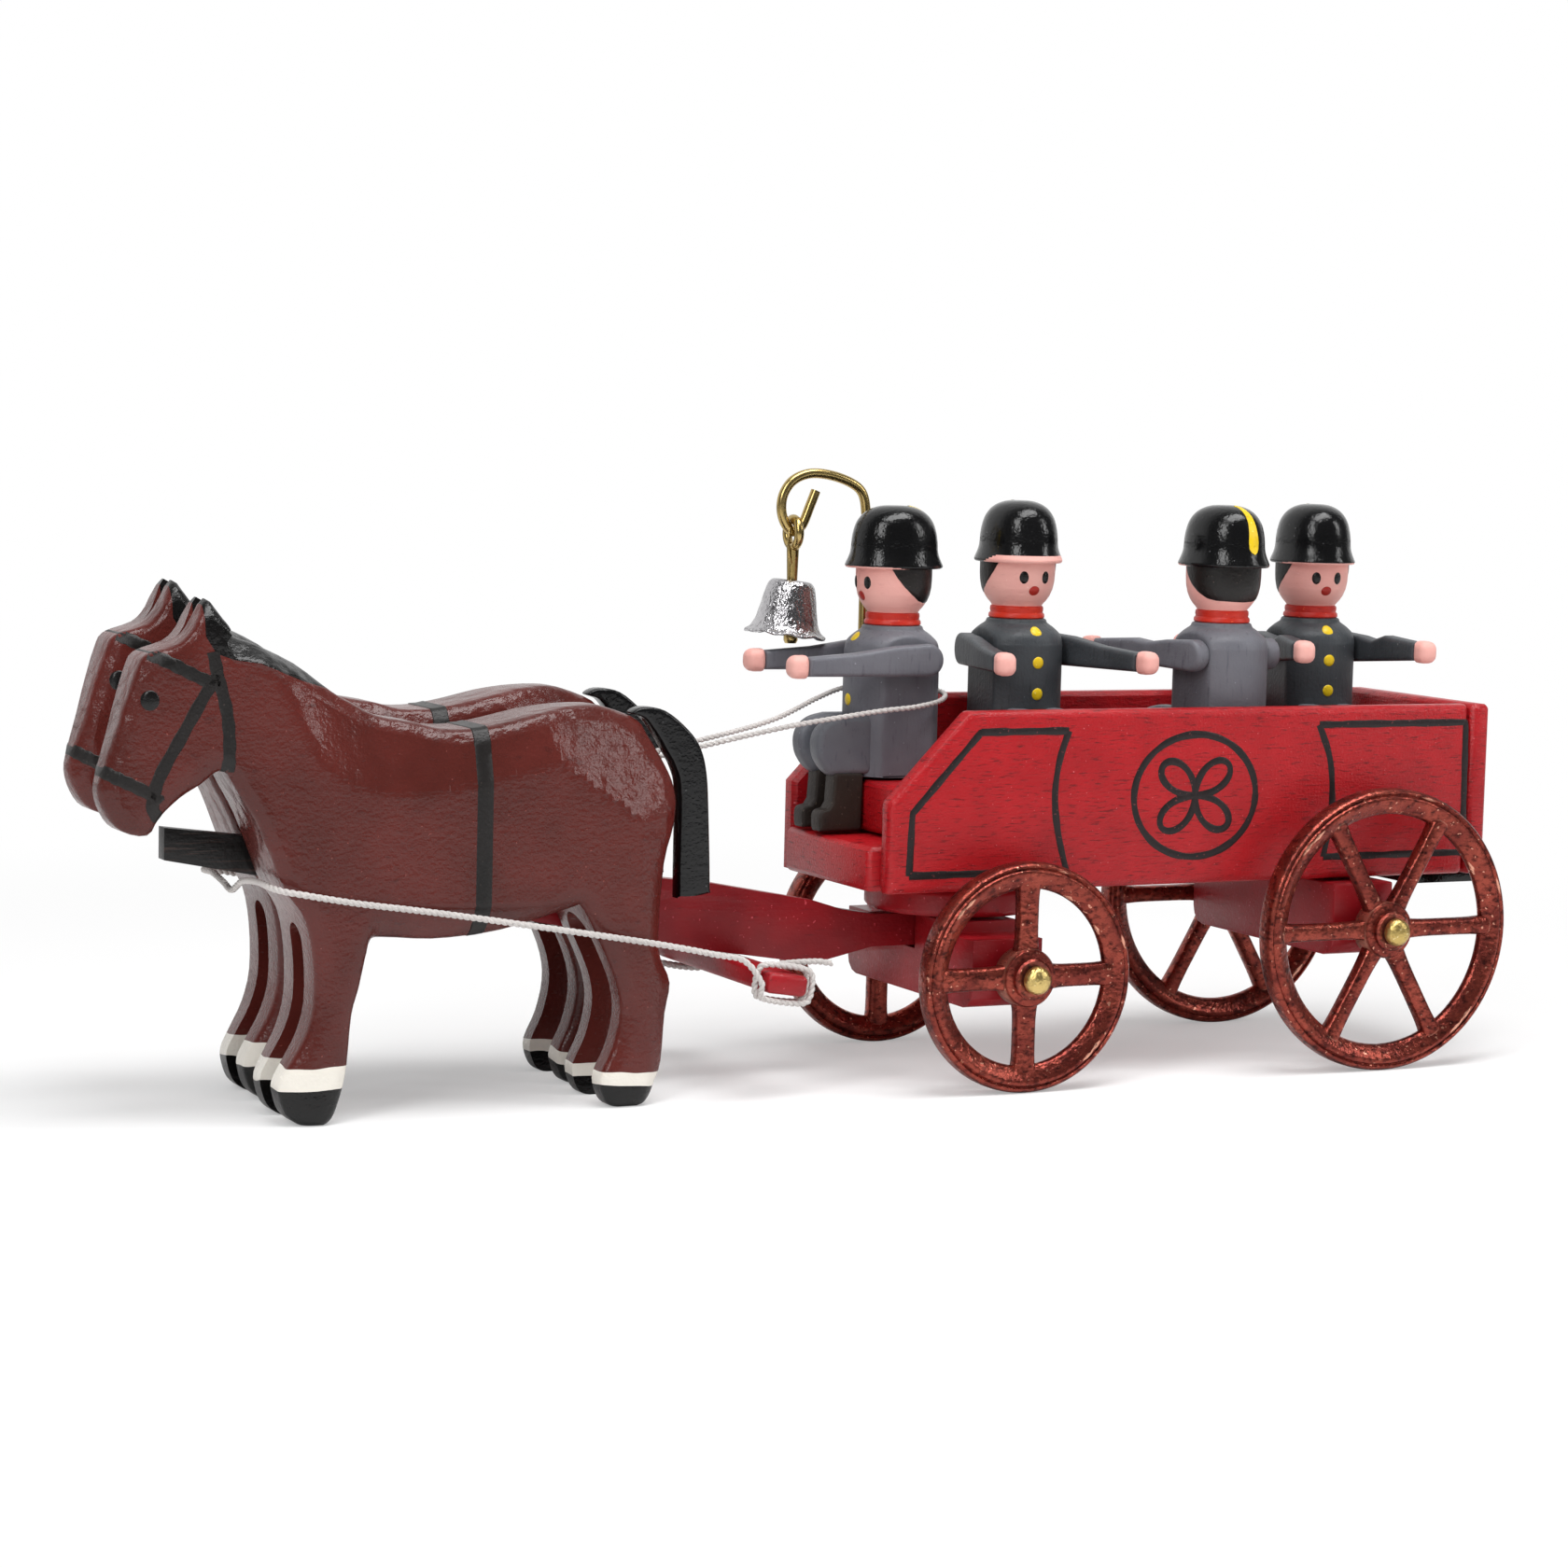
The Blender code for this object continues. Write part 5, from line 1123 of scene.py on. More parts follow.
@dataclass
class Horse:
    """A horse carved from a sawn block, with its tail, painted harness, eyes and mane.

    Its sizes are distances behind the nose, heights and, across, distances from its middle plane.
    """

    side: Side
    setback: float = 0.0
    stretch: float = 1.0
    centre_y: float = 0.0067
    half_thickness: float = 0.0054
    least_width: float = 0.0014
    mesh_step: float = 0.00042
    edge: float = 0.00045
    chamfer: float = 0.0013
    chamfer_drop: float = 0.0006
    back_slope: float = 0.27
    rump_start: Pair = (0.0442, 0.0339)
    rump_end: Pair = (0.0526, 0.0282)
    rump_top: Pair = (0.0430, 0.0380)
    rump_back: Pair = (0.0573, 0.0306)
    rump_slope: float = 0.44
    rump_floor: float = 0.0240
    thigh_foot: Pair = (0.0540, 0.0100)
    thigh_slope: float = 0.36
    belly_z: float = 0.0205
    belly_slope: float = 0.50
    belly_ends: Pair = (0.0250, 0.0475)
    belly_fade: float = 0.0015
    belly_fold: Pair = (0.0255, 0.0470)
    ear_heights: Pair = (0.0440, 0.0500)
    ear_widths: Pair = (0.0054, 0.0024)
    ear_notch: tuple = ((-0.0014, 0.0510), (0.0, 0.0458), (0.0014, 0.0510))
    ear_span: Pair = (0.0098 - 0.0042, 0.0098 + 0.0042)
    mane_slope: float = 1.0
    mane_span: Pair = (0.0120, 0.0216)
    fore_slot: float = 0.0016
    fore_span: Pair = (-0.001, 0.0300)
    hind_slot: float = 0.0025
    hind_span: Pair = (0.0450, 0.0600)
    slot_top: float = 0.0188
    slot_foot: float = -0.001
    crisp: float = 46.0
    strap: float = 0.00125
    strap_waver: Pair = (0.06, 0.7)
    lift: float = 0.00005
    girth_reach: tuple[float, ...] = (0.0357, 0.0358, 0.0366, 0.0373, 0.0374)
    girth_near: float = 0.0012
    mid_height: float = 0.025
    eye: Pair = (0.0043, 0.0403)
    eye_half: Pair = (0.00085, 0.00095)
    tail_half: float = 0.0010
    tail_edge: float = 0.00035
    tail_step: float = 0.00025

    def width(self, places: np.ndarray) -> np.ndarray:
        """Gives the block's half-width: narrow at the head, sloping in over the crease.

        The smallest of these limits counts: by the distance behind the nose, by the height above
        the crease, by the distance beyond the knife cuts on the rump and on the thigh, by the depth
        under the belly's break and by the height of the ear. The mane's chamfer is taken off that.

        Args:
            places: Distance behind the nose and height.

        Returns:
            One half-width for each place.
        """
        reach, up = places[:, 0], places[:, 1]
        by_reach, crease, mane = (np.interp(reach, *table.T)
                                  for table in (REACH_WIDTH, CREASE, MANE_EDGE))
        by_back = self.half_thickness - self.back_slope * np.maximum(up - crease, 0.0)
        (x0, z0), (x1, z1) = self.rump_start, self.rump_end
        beyond = ((reach - x0) * (z0 - z1) + (up - z0) * (x1 - x0)) / math.hypot(x1 - x0, z1 - z0)
        by_rump = self.half_thickness - self.rump_slope * np.maximum(beyond, 0.0)
        by_rump = np.where(up > self.rump_floor, by_rump, self.half_thickness)
        past_thigh = reach - np.interp(up, (self.thigh_foot[1], z1), (self.thigh_foot[0], x1))
        by_thigh = self.half_thickness - self.thigh_slope * np.maximum(past_thigh, 0.0)
        start, end = self.belly_ends
        body = np.clip(np.minimum(reach - start, end - reach) / self.belly_fade, 0.0, 1.0)
        by_belly = self.half_thickness - self.belly_slope * np.maximum(self.belly_z - up, 0.0) * body
        by_ear = np.interp(up, self.ear_heights, self.ear_widths)
        over = np.maximum(up - mane, 0.0) * ((reach > self.mane_span[0]) & (reach < self.mane_span[1]))
        limits = [by_reach, by_back, by_rump, by_thigh, by_belly, by_ear]
        return np.maximum(np.minimum.reduce(limits) - self.mane_slope * over, self.least_width)

    def drop(self, depth: np.ndarray) -> np.ndarray:
        """Gives the drop of the knife-cut edge: a straight chamfer with a small round outside."""
        cut = self.chamfer_drop * np.clip(1.0 - depth / self.chamfer, 0.0, 1.0)
        return cut + rounding(depth, self.edge)

    def height(self, places: np.ndarray) -> np.ndarray:
        """Gives the half-width less the rounded edge, for what is painted on the flank."""
        return self.width(places) - self.drop(edge_distance(places, self.outline()))

    def outline(self) -> np.ndarray:
        """Smooths the horse's sawn outline into a closed curve that stays above the floor.

        Returns:
            Points along the curve.
        """
        outline = smooth_line(HORSE_OUTLINE, 3, closed=True)
        outline[:, 1] = np.maximum(outline[:, 1], 0.0)
        return outline

    def place(self, points: np.ndarray) -> np.ndarray:
        """Moves points from behind the nose to where this horse stands.

        Args:
            points: Places about the horse's nose and middle plane.

        Returns:
            Places on the wagon.
        """
        shift = np.array([NOSE_X + self.setback, self.side.value * self.centre_y, 0.0])
        return points * np.array([1.0, 1.0, self.stretch]) + shift

    def cutters(self) -> list[bpy.types.Object]:
        """Builds the arched cutters between the legs and the wedge between the ears.

        Returns:
            The cutters, which run along X.
        """
        shapes = []
        for half, span in ((self.fore_slot, self.fore_span), (self.hind_slot, self.hind_span)):
            arch = [(half * math.cos(a), self.slot_top - half + half * math.sin(a))
                    for a in np.linspace(0.0, np.pi, 17)]
            shapes.append(([(half, self.slot_foot)] + arch + [(-half, self.slot_foot)], span))
        shapes.append((self.ear_notch, self.ear_span))
        made = []
        for section, span in shapes:
            flat = np.asarray(section, float)
            count = len(flat)
            rows = [np.column_stack([np.full(count, end), flat]) for end in span]
            caps = [list(range(count)), list(range(2 * count - 1, count - 1, -1))]
            made.append(make_object("cutter", np.concatenate(rows), grid_faces(2, count, True) + caps))
        return made

    def block(self) -> bpy.types.Object:
        """Carves the horse, saws its legs apart and notches its ears.

        Returns:
            The horse, painted.
        """
        folds = (CREASE[:9], (self.rump_start, self.rump_end, self.thigh_foot),
                 (self.rump_start, self.rump_top), (self.rump_end, self.rump_back),
                 tuple((reach, self.belly_z) for reach in self.belly_fold))
        surface = sawn(self.outline(), self.width, self.edge, self.mesh_step, self.drop, folds)
        horse = make_object("horse_" + self.side.word + "_carved", *surface)
        cutters = self.cutters()
        for cutter in cutters:
            cut = horse.modifiers.new("cut", "BOOLEAN")
            cut.object = cutter
            cut.solver = "EXACT"
        mesh = horse.data = evaluated(horse)
        for cutter in cutters:
            bpy.data.objects.remove(cutter)
        mesh.shade_smooth()
        mesh.set_sharp_from_angle(angle=math.radians(self.crisp))
        own = np.empty(len(mesh.vertices) * 3)
        mesh.vertices.foreach_get("co", own)
        mesh.vertices.foreach_set("co", self.place(own.reshape(-1, 3)).ravel())
        enamel = replace(HORSE_BROWN, name=HORSE_BROWN.name + "_" + self.side.word,
                         setback=self.setback, stretch=self.stretch)
        return dress(horse, enamel, CARRIAGE, "horse_" + self.side.word)

    def band(self, route: np.ndarray, name: str) -> Surface:
        """Paints a strap along a route on one flank, over the block's edge and back on the other.

        The strip lies on the carved surface at the route's points, raised by the paint's thickness.
        Where the route starts at the outline, it crosses to the other flank there.

        Args:
            route: Places behind the nose, from the outline inwards.
            name: The strap's name, which starts its waver.

        Returns:
            Points and faces.
        """
        middle = smooth_line(route, 14)
        much, pace = self.strap_waver
        waver = 1.0 + much * np.sin(np.arange(len(middle)) * pace + len(name))
        lift = np.array([-0.6, 0.8, 1.0, 1.0, 0.8, -0.6]) * self.lift
        flat = ribbon(middle, np.array([-0.5, -0.44, -0.2, 0.2, 0.44, 0.5]) * self.strap, waver)
        places = flat.reshape(-1, 2)
        rim = divided(self.outline(), 0.0001)
        nearest = rim[np.linalg.norm(places[:, None] - rim[None], axis=2).argmin(axis=1)]
        places = np.where(is_inside(places, self.outline())[:, None], places, nearest)
        flat = places.reshape(flat.shape)
        high = self.height(places).reshape(flat.shape[:2]) + lift
        # The first rows cross the block's edge, so the paint's thickness pushes them out of it
        outwards = (flat[:1] - flat[8:9]) / np.linalg.norm(flat[0, 2] - flat[8, 2])
        fade = np.clip(1.0 - np.arange(len(flat)) / 3, 0.0, 1.0)
        flat = flat + outwards * fade[:, None, None] * lift[None, :, None]
        near = np.stack([flat[..., 0], -high, flat[..., 1]], axis=-1)
        rows = np.concatenate([near[::-1], near * np.array([1.0, -1.0, 1.0])])
        return rows.reshape(-1, 3), grid_faces(*rows.shape[:2], False)

    def girth(self) -> Surface:
        """Paints the girth: a strap that follows the body's section all the way round.

        Each row of it is the half-width at heights that crowd towards the back and the belly, by
        half of one less a cosine.

        Returns:
            Points and faces.
        """
        outline = self.outline()
        steps = 60
        share = 0.5 - 0.5 * np.cos(np.linspace(0.0, np.pi, steps))
        push = np.interp(share, (0.0, 0.02, 0.98, 1.0), (-1.0, -1.0, 1.0, 1.0))
        rows = []
        for reach, raised in zip(self.girth_reach, np.array([-0.5, 0.9, 1.0, 0.9, -0.5]) * self.lift):
            crossing = outline[np.abs(outline[:, 0] - reach) < self.girth_near]
            low = crossing[crossing[:, 1] < self.mid_height, 1].mean()
            high = crossing[crossing[:, 1] > self.mid_height, 1].mean()
            up = low + (high - low) * share
            along = np.full(steps, reach)
            wide = self.width(np.stack([along, up], axis=1))
            wide = wide - self.drop(np.minimum(up - low, high - up)) + raised
            up = up + raised * push
            near, far = (np.stack([along, sign * wide, up], axis=1) for sign in (-1, 1))
            rows.append(np.concatenate([near, far[::-1]]))
        return np.concatenate(rows), grid_faces(len(rows), 2 * steps, True)

    def eyes(self) -> Surface:
        """Paints an eye on each cheek: a round drop of enamel, highest in its middle.

        Returns:
            Points and faces of both.
        """
        ring = np.array([0.0, 0.4, 0.75, 0.93, 1.0])[:, None]
        lift = np.array([0.00016, 0.00014, 0.0001, 0.00005, -0.00002])[:, None]
        turn = circle(28)
        (x, z), (half_x, half_z) = self.eye, self.eye_half
        flat = np.stack([x + half_x * ring * np.cos(turn), z + half_z * ring * np.sin(turn)], axis=-1)
        high = self.height(flat.reshape(-1, 2)).reshape(flat.shape[:2]) + lift
        return joined([(np.stack([flat[..., 0], sign * high, flat[..., 1]], axis=-1).reshape(-1, 3),
                        grid_faces(*high.shape, True)) for sign in (-1, 1)])

    def build(self) -> None:
        """Builds the horse, its tail and its paint."""
        word = self.side.word
        self.block()
        straps = [self.band(route, name) for name, route in STRAPS.items()]
        tail = sawn(smooth_line(TAIL_OUTLINE, 4, closed=True), self.tail_half, self.tail_edge,
                    self.tail_step)
        for name, (points, faces), finish, nodes in (
                ("harness_" + word, joined(straps + [self.girth()]), HARNESS_BLACK, ()),
                ("horse_eyes_" + word, self.eyes(), DOT_BLACK, ()),
                ("tail_" + word + "_strip", tail, BLACK_GLOSS, ("tail_" + word,))):
            piece(name, (self.place(points), faces), finish, CARRIAGE, *nodes)


# Radius and height of the coat's and the collar's corners, from their foot up
COAT_PROFILE = hundredths((0, 0), (460, 0), (490, 20), (500, 60), (500, 600), (500, 1220), (495, 1320),
    (470, 1400), (400, 1470), (330, 1520), (280, 1570), (0, 1590))
COLLAR_PROFILE = hundredths((0, 1560), (275, 1560), (298, 1580), (296, 1610), (278, 1630), (284, 1660),
    (280, 1690), (250, 1710), (0, 1710))
# Share of the helmet's half-size and of its height, from the crown to the underside
HELMET_DOME = ((0.0, 1.0), (0.28, 0.99), (0.50, 0.94), (0.67, 0.85), (0.79, 0.72), (0.855, 0.56),
               (0.88, 0.42), (0.888, 0.32), (0.905, 0.24), (0.94, 0.16), (0.98, 0.09), (1.0, 0.05),
               (0.99, 0.015), (0.94, 0.0), (0.70, 0.01))
# How far the hair falls below the helmet, by degrees from the face to the nape
HAIR_FALL = ((60, 0.0), (68, 0.0009), (80, 0.0019), (95, 0.0028), (110, 0.0034), (128, 0.0037),
             (180, 0.0038))
# Outlines of the trousers' curved front and the boot's toe, forwards and up from the seat
KNEE = hundredths((-660, 640), (-820, 600), (-940, 510), (-990, 380), (-970, 220), (-890, 90), (-820, 30))
TOE = hundredths((-840, -320), (-910, -340), (-940, -390), (-940, -500))


@dataclass
class Fireman:
    """A turned figure with a helmet, painted face, glued arms and sawn legs.

    Its heights are above the seat. It faces -X before it is turned, and the temples are the degrees
    from the face between which the brim's lip fades out and from which the hair starts.
    """

    name: str
    behind: float
    across: float
    seat: float
    turn: float
    splay: float
    drop: float
    coat: Finish = COAT_GREY
    lip: float = 0.0002
    flat_y: float = 0.0041
    chin: float = 0.0168
    helmet_base: float = 0.0216
    helmet_height: float = 0.0065
    helmet_half: Pair = (0.00526, 0.00446)
    temples: Pair = (60.0, 85.0)
    eye_turn: float = 19.0
    eye: Place = (0.0201, 0.00100, 0.00135)
    mouth: Place = (0.0187, 0.00125, 0.00105)
    button: float = 0.00130
    button_heights: Place = (0.0143, 0.0112, 0.0079)
    arm_inner: float = 0.0042
    arm_thickness: float = 0.0019
    arm_height: float = 0.0123
    arm_reach: float = 0.0145
    shoulder_radius: float = 0.0017
    shoulder_setback: float = 0.0014
    sleeve_edge: float = 0.00045
    sleeve_step: float = 0.00028
    cuff_half: float = 0.00098
    hand_length: float = 0.0021
    hand_half: float = 0.0012
    hand_corner: float = 0.00092
    hand_cheek: float = 0.00012
    hand_edge: float = 0.00078
    hand_step: float = 0.00022
    leg_half: float = 0.00115
    leg_step: float = 0.0003
    leg_y: float = 0.00205

    def place(self, points: np.ndarray) -> np.ndarray:
        """Turns points from the figure's own frame, facing -X, to its seat.

        Args:
            points: Places about the torso's axis.

        Returns:
            Places on the wagon.
        """
        spin = turning(math.radians(self.turn), "Z")
        return points @ spin.T + np.array([FRONT_AXLE_X + self.behind, self.across, self.seat])

    def add(self, word: str, surface: Surface, finish: Finish, *parts: str) -> bpy.types.Object:
        """Puts one of the figure's surfaces in place and dresses it.

        Args:
            word: The piece's word after the figure's name.
            surface: Points and faces in the figure's own frame.
            finish: Its finish.
            parts: Words of the solids that it replaces.

        Returns:
            The piece.
        """
        return piece(self.name + "_" + word, (self.place(surface[0]), surface[1]), finish, WAGON,
                     *[self.name + "_" + part for part in parts])

    def head_radius(self, up: np.ndarray) -> np.ndarray:
        """Gives the head's radius at a height, widening from the chin to the brim."""
        return np.interp(up, (0.0168, 0.0172, 0.0176, 0.0181, 0.0188, 0.0196, 0.0205, 0.0218),
                         (0.00252, 0.00276, 0.00312, 0.00345, 0.00374, 0.00390, 0.00396, 0.00396))

    def coat_radius(self, up: np.ndarray) -> np.ndarray:
        """Gives the coat's radius at a height, narrowing at the shoulders."""
        return np.interp(up, (0.0, 0.0118, 0.0130, 0.0142, 0.0151), (0.0050, 0.0050, 0.0049, 0.0045, 0.0038))

    def spot(self, angle: float, up: float, wide: float, tall: float,
             radius: Callable[[np.ndarray], np.ndarray]) -> Surface:
        """Paints an oval drop on a turned surface, raised in its middle.

        Args:
            angle: Its direction from the front, in degrees.
            up: Its height.
            wide: Its width.
            tall: Its height from end to end.
            radius: The surface's radius at a height.

        Returns:
            Points and faces.
        """
        ring = np.array([0.0, 0.45, 0.8, 0.95, 1.0])[:, None]
        rise = np.array([0.00014, 0.00012, 0.00008, 0.00003, -0.00003])[:, None]
        around = circle(24)
        height = up + tall / 2 * ring * np.sin(around)
        reach = radius(height) + rise
        heading = math.pi + math.radians(angle) + wide / 2 * ring * np.cos(around) / radius(height)
        points = np.stack([reach * np.cos(heading), reach * np.sin(heading), height], axis=-1)
        return points.reshape(-1, 3), grid_faces(*points.shape[:2], True)

    def hair(self) -> Surface:
        """Lays the hair on the head's surface, from one temple round the nape to the other.

        Returns:
            Points and faces, open along the helmet's base.
        """
        around = np.radians(np.linspace(self.temples[0], 360.0 - self.temples[0], 80))[None]
        share = np.linspace(0.0, 1.0, 12)[:, None]
        from_face = 180.0 - np.abs(np.degrees(around) - 180.0)
        bottom = self.helmet_base - np.interp(from_face, *np.array(HAIR_FALL).T)
        height = bottom + (self.helmet_base + 0.0001 - bottom) * share
        reach = self.head_radius(height) + np.where(share > 0.0, 0.00006, -0.00003)
        points = np.stack([reach * np.cos(np.pi + around), reach * np.sin(np.pi + around), height], -1)
        return points.reshape(-1, 3), grid_faces(*points.shape[:2], False)

    def body(self) -> None:
        """Builds the torso, collar, head, hair, face and buttons."""
        points, faces = turned(smooth_line(COAT_PROFILE, 4), 96)
        points[:, 1] = np.clip(points[:, 1], -self.flat_y, self.flat_y)
        up = np.linspace(self.chin, self.helmet_base, 32)
        skin = np.column_stack([self.head_radius(up), up])
        skin = np.concatenate([[[0.0, self.chin]], skin, [[0.0, self.helmet_base]]])
        self.add("coat", (points, faces), self.coat, "body")
        self.add("collar", turned(COLLAR_PROFILE, 56), COLLAR_RED)
        self.add("head", turned(skin), SKIN_PINK)
        self.add("hair", self.hair(), HAIR_BLACK)
        eyes = [self.spot(angle, *self.eye, self.head_radius) for angle in (-self.eye_turn, self.eye_turn)]
        self.add("eyes", joined(eyes), DOT_BLACK)
        self.add("mouth", self.spot(0, *self.mouth, self.head_radius), LIP_RED)
        chest = [self.spot(0, up, self.button, self.button, self.coat_radius)
                 for up in self.button_heights]
        self.add("buttons", joined(chest), YELLOW)

    def helmet(self) -> None:
        """Turns the helmet and draws it out into an oval."""
        profile = np.concatenate([smooth_line(HELMET_DOME, 4), [[0.0, 0.01]]])
        section = profile * np.array([1.0, self.helmet_height]) + np.array([0.0, self.helmet_base])
        points, faces = turned(section, 72)
        points = points * np.array([*self.helmet_half, 1.0])
        shell = self.add("helmet_shell", (points, faces), BLACK_GLOSS, "helmet")
        self.paint_brim(shell.data)
        self.add("crest", self.crest(profile), YELLOW)

    def crest(self, profile: np.ndarray) -> Surface:
        """Paints the stripe down the back of the helmet, wider and blunt towards its lower end.

        It lies on the helmet's oval: across it, the distance back is the root of the squares' rest.

        Args:
            profile: The helmet's section, in shares of its sizes.

        Returns:
            Points and faces.
        """
        run = np.concatenate([[0.0], np.cumsum(np.linalg.norm(np.diff(profile, axis=0), axis=1))])
        first, last = np.interp(0.28, profile[:12, 0], run[:12]), run[np.argmax(profile[:, 1] < 0.24)]
        share = np.linspace(0.0, 1.0, 34)
        along, height = (np.interp(first + (last - first) * share, run, profile[:, k]) for k in (0, 1))
        fullness = np.interp(share, (0.0, 0.5, 0.82, 0.91, 0.96, 0.99, 1.0),
                             (0.00022, 0.00048, 0.00072, 0.00066, 0.00048, 0.00022, 0.00002))
        lift = np.array([-0.00003, 0.00006, 0.00008, 0.00006, -0.00003])
        y = fullness[:, None] * np.array([-1.0, -0.85, 0.0, 0.85, 1.0])
        x = np.sqrt(np.maximum((along * self.helmet_half[0])[:, None] ** 2
                               - (y * self.helmet_half[0] / self.helmet_half[1]) ** 2, 0.0)) + lift
        z = np.repeat((height * self.helmet_height)[:, None], len(lift), axis=1) + self.helmet_base
        z = z + lift * (1.0 - along[:, None])
        return np.stack([x, y, z], -1).reshape(-1, 3), grid_faces(*x.shape, False)

    def paint_brim(self, mesh: bpy.types.Mesh) -> None:
        """Carries the face's colour onto the lower lip of the brim, in front.

        Args:
            mesh: The helmet's mesh, in place.
        """
        mesh.materials.append(SKIN_PINK.material())
        centres = np.empty(len(mesh.polygons) * 3)
        mesh.polygons.foreach_get("center", centres)
        spin = turning(math.radians(self.turn), "Z")
        own = (centres.reshape(-1, 3) - self.place(np.zeros((1, 3)))) @ spin
        heading = np.abs(np.degrees(np.arctan2(own[:, 1], -own[:, 0])))
        inner, outer = self.temples
        edge = self.helmet_base + self.lip * np.clip((outer - heading) / (outer - inner), 0.0, 1.0)
        mesh.polygons.foreach_set("material_index", (own[:, 2] < edge).astype(np.int32))

    def sleeve(self) -> Surface:
        """Saws the sleeve: a round shoulder that tapers to the cuff.

        Returns:
            Points and faces, with the middle of the board at Y = 0.
        """
        bow = np.radians(np.linspace(80.0, -84.0, 12))
        shoulder = np.stack([self.shoulder_setback + self.shoulder_radius * np.cos(bow),
                             self.arm_height + self.shoulder_radius * np.sin(bow)], axis=1)
        wrist, palm = -self.arm_reach + self.hand_length, self.arm_height - self.drop
        top = self.arm_height + self.shoulder_radius
        rest = [[wrist, palm - self.cuff_half], [wrist, palm + self.cuff_half],
                [-0.0068, palm + 0.00138], [-0.0045, top - 0.00058], [-0.0020, top - 0.00022]]
        return sawn(np.concatenate([shoulder, rest]), self.arm_thickness / 2, self.sleeve_edge,
                    self.sleeve_step)

    def fist(self) -> Surface:
        """Saws the hand: a block with quarter-round corners, flatter where it enters the cuff.

        Returns:
            Points and faces, with the middle of the board at Y = 0.
        """
        palm, rise = self.arm_height - self.drop, self.hand_half - self.hand_corner
        heel = -self.arm_reach + self.hand_length - 0.00035
        tip = -self.arm_reach + self.hand_corner
        corners = []
        for x, z, start in ((heel, rise, 0), (tip, rise, 90), (tip, -rise, 180), (heel, -rise, 270)):
            bend = np.radians(np.linspace(start, start + 90, 6))
            squash = 1.0 if x == tip else 0.45
            corners.append(np.stack([x + self.hand_corner * np.cos(bend) * squash,
                                     palm + z + self.hand_corner * np.sin(bend)], axis=1))
        return sawn(np.concatenate(corners), self.arm_thickness / 2 + self.hand_cheek, self.hand_edge,
                    self.hand_step)

    def arms(self) -> None:
        """Builds each arm and its hand, splayed about the shoulder."""
        for sign, word in ((1, "right"), (-1, "left")):
            middle = sign * (self.arm_inner + self.arm_thickness / 2)
            about = np.array([self.shoulder_setback, middle, 0.0])
            swing = turning(math.radians(-sign * self.splay), "Z")
            for name, (points, faces), finish, parts in (
                    (word + "_sleeve", self.sleeve(), self.coat, (word + "_arm",)),
                    (word + "_hand", self.fist(), SKIN_PINK, ())):
                moved = (points + np.array([0.0, middle, 0.0]) - about) @ swing.T + about
                self.add(name, (moved, faces), finish, *parts)

    def legs(self) -> None:
        """Builds both trouser legs and boots, each sawn from a board of one leg's width."""
        trousers = np.concatenate([[[0.0, 0.0064]], smooth_line(KNEE, 5), [[-0.0042, 0.0003], [0.0, 0.0003]]])
        boot = np.concatenate([[[-0.0045, 0.0005], [-0.0078, 0.0005], [-0.0080, -0.0026]],
                               smooth_line(TOE, 3), [[-0.0093, -0.0055], [-0.0046, -0.0055]]])
        for word, outline, edge, finish, parts in (("trousers", trousers, 0.0006, TROUSER_GREY, ("legs",)),
                                                   ("boots", boot, 0.0003, BOOT_BROWN, ())):
            points, faces = sawn(outline, self.leg_half, edge, self.leg_step)
            pair = joined([(points + np.array([0.0, y, 0.0]), faces) for y in (-self.leg_y, self.leg_y)])
            self.add(word, pair, finish, *parts)

    def build(self) -> None:
        """Builds the whole figure."""
        self.body()
        self.helmet()
        self.arms()
        self.legs()


# The hook's route, in distance ahead of the front axle and height, from its foot to its loose end
HOOK_ROUTE = hundredths((550, 3240), (550, 4300), (550, 5450), (550, 5750), (600, 5960), (740, 6070),
    (980, 6145), (1220, 6160), (1410, 6090), (1520, 5950), (1545, 5790), (1500, 5640), (1400, 5550),
    (1300, 5620), (1210, 5830), (1150, 5980))
# Radius and depth under the crown of the bell's outside, then radius and height of the brass
# bead under its hanger and of the clapper
BELL_PROFILE = hundredths((72, 0), (180, 0), (225, -25), (255, -80), (282, -200), (310, -340),
    (340, -450), (380, -520), (430, -560), (430, -580))
BEAD_PROFILE = hundredths((0, 4960), (80, 4960), (90, 4930), (80, 4890), (0, 4880))
CLAPPER_PROFILE = hundredths((0, 4850), (40, 4850), (40, 4550), (55, 4510), (75, 4470), (75, 4410),
    (60, 4380), (0, 4380))


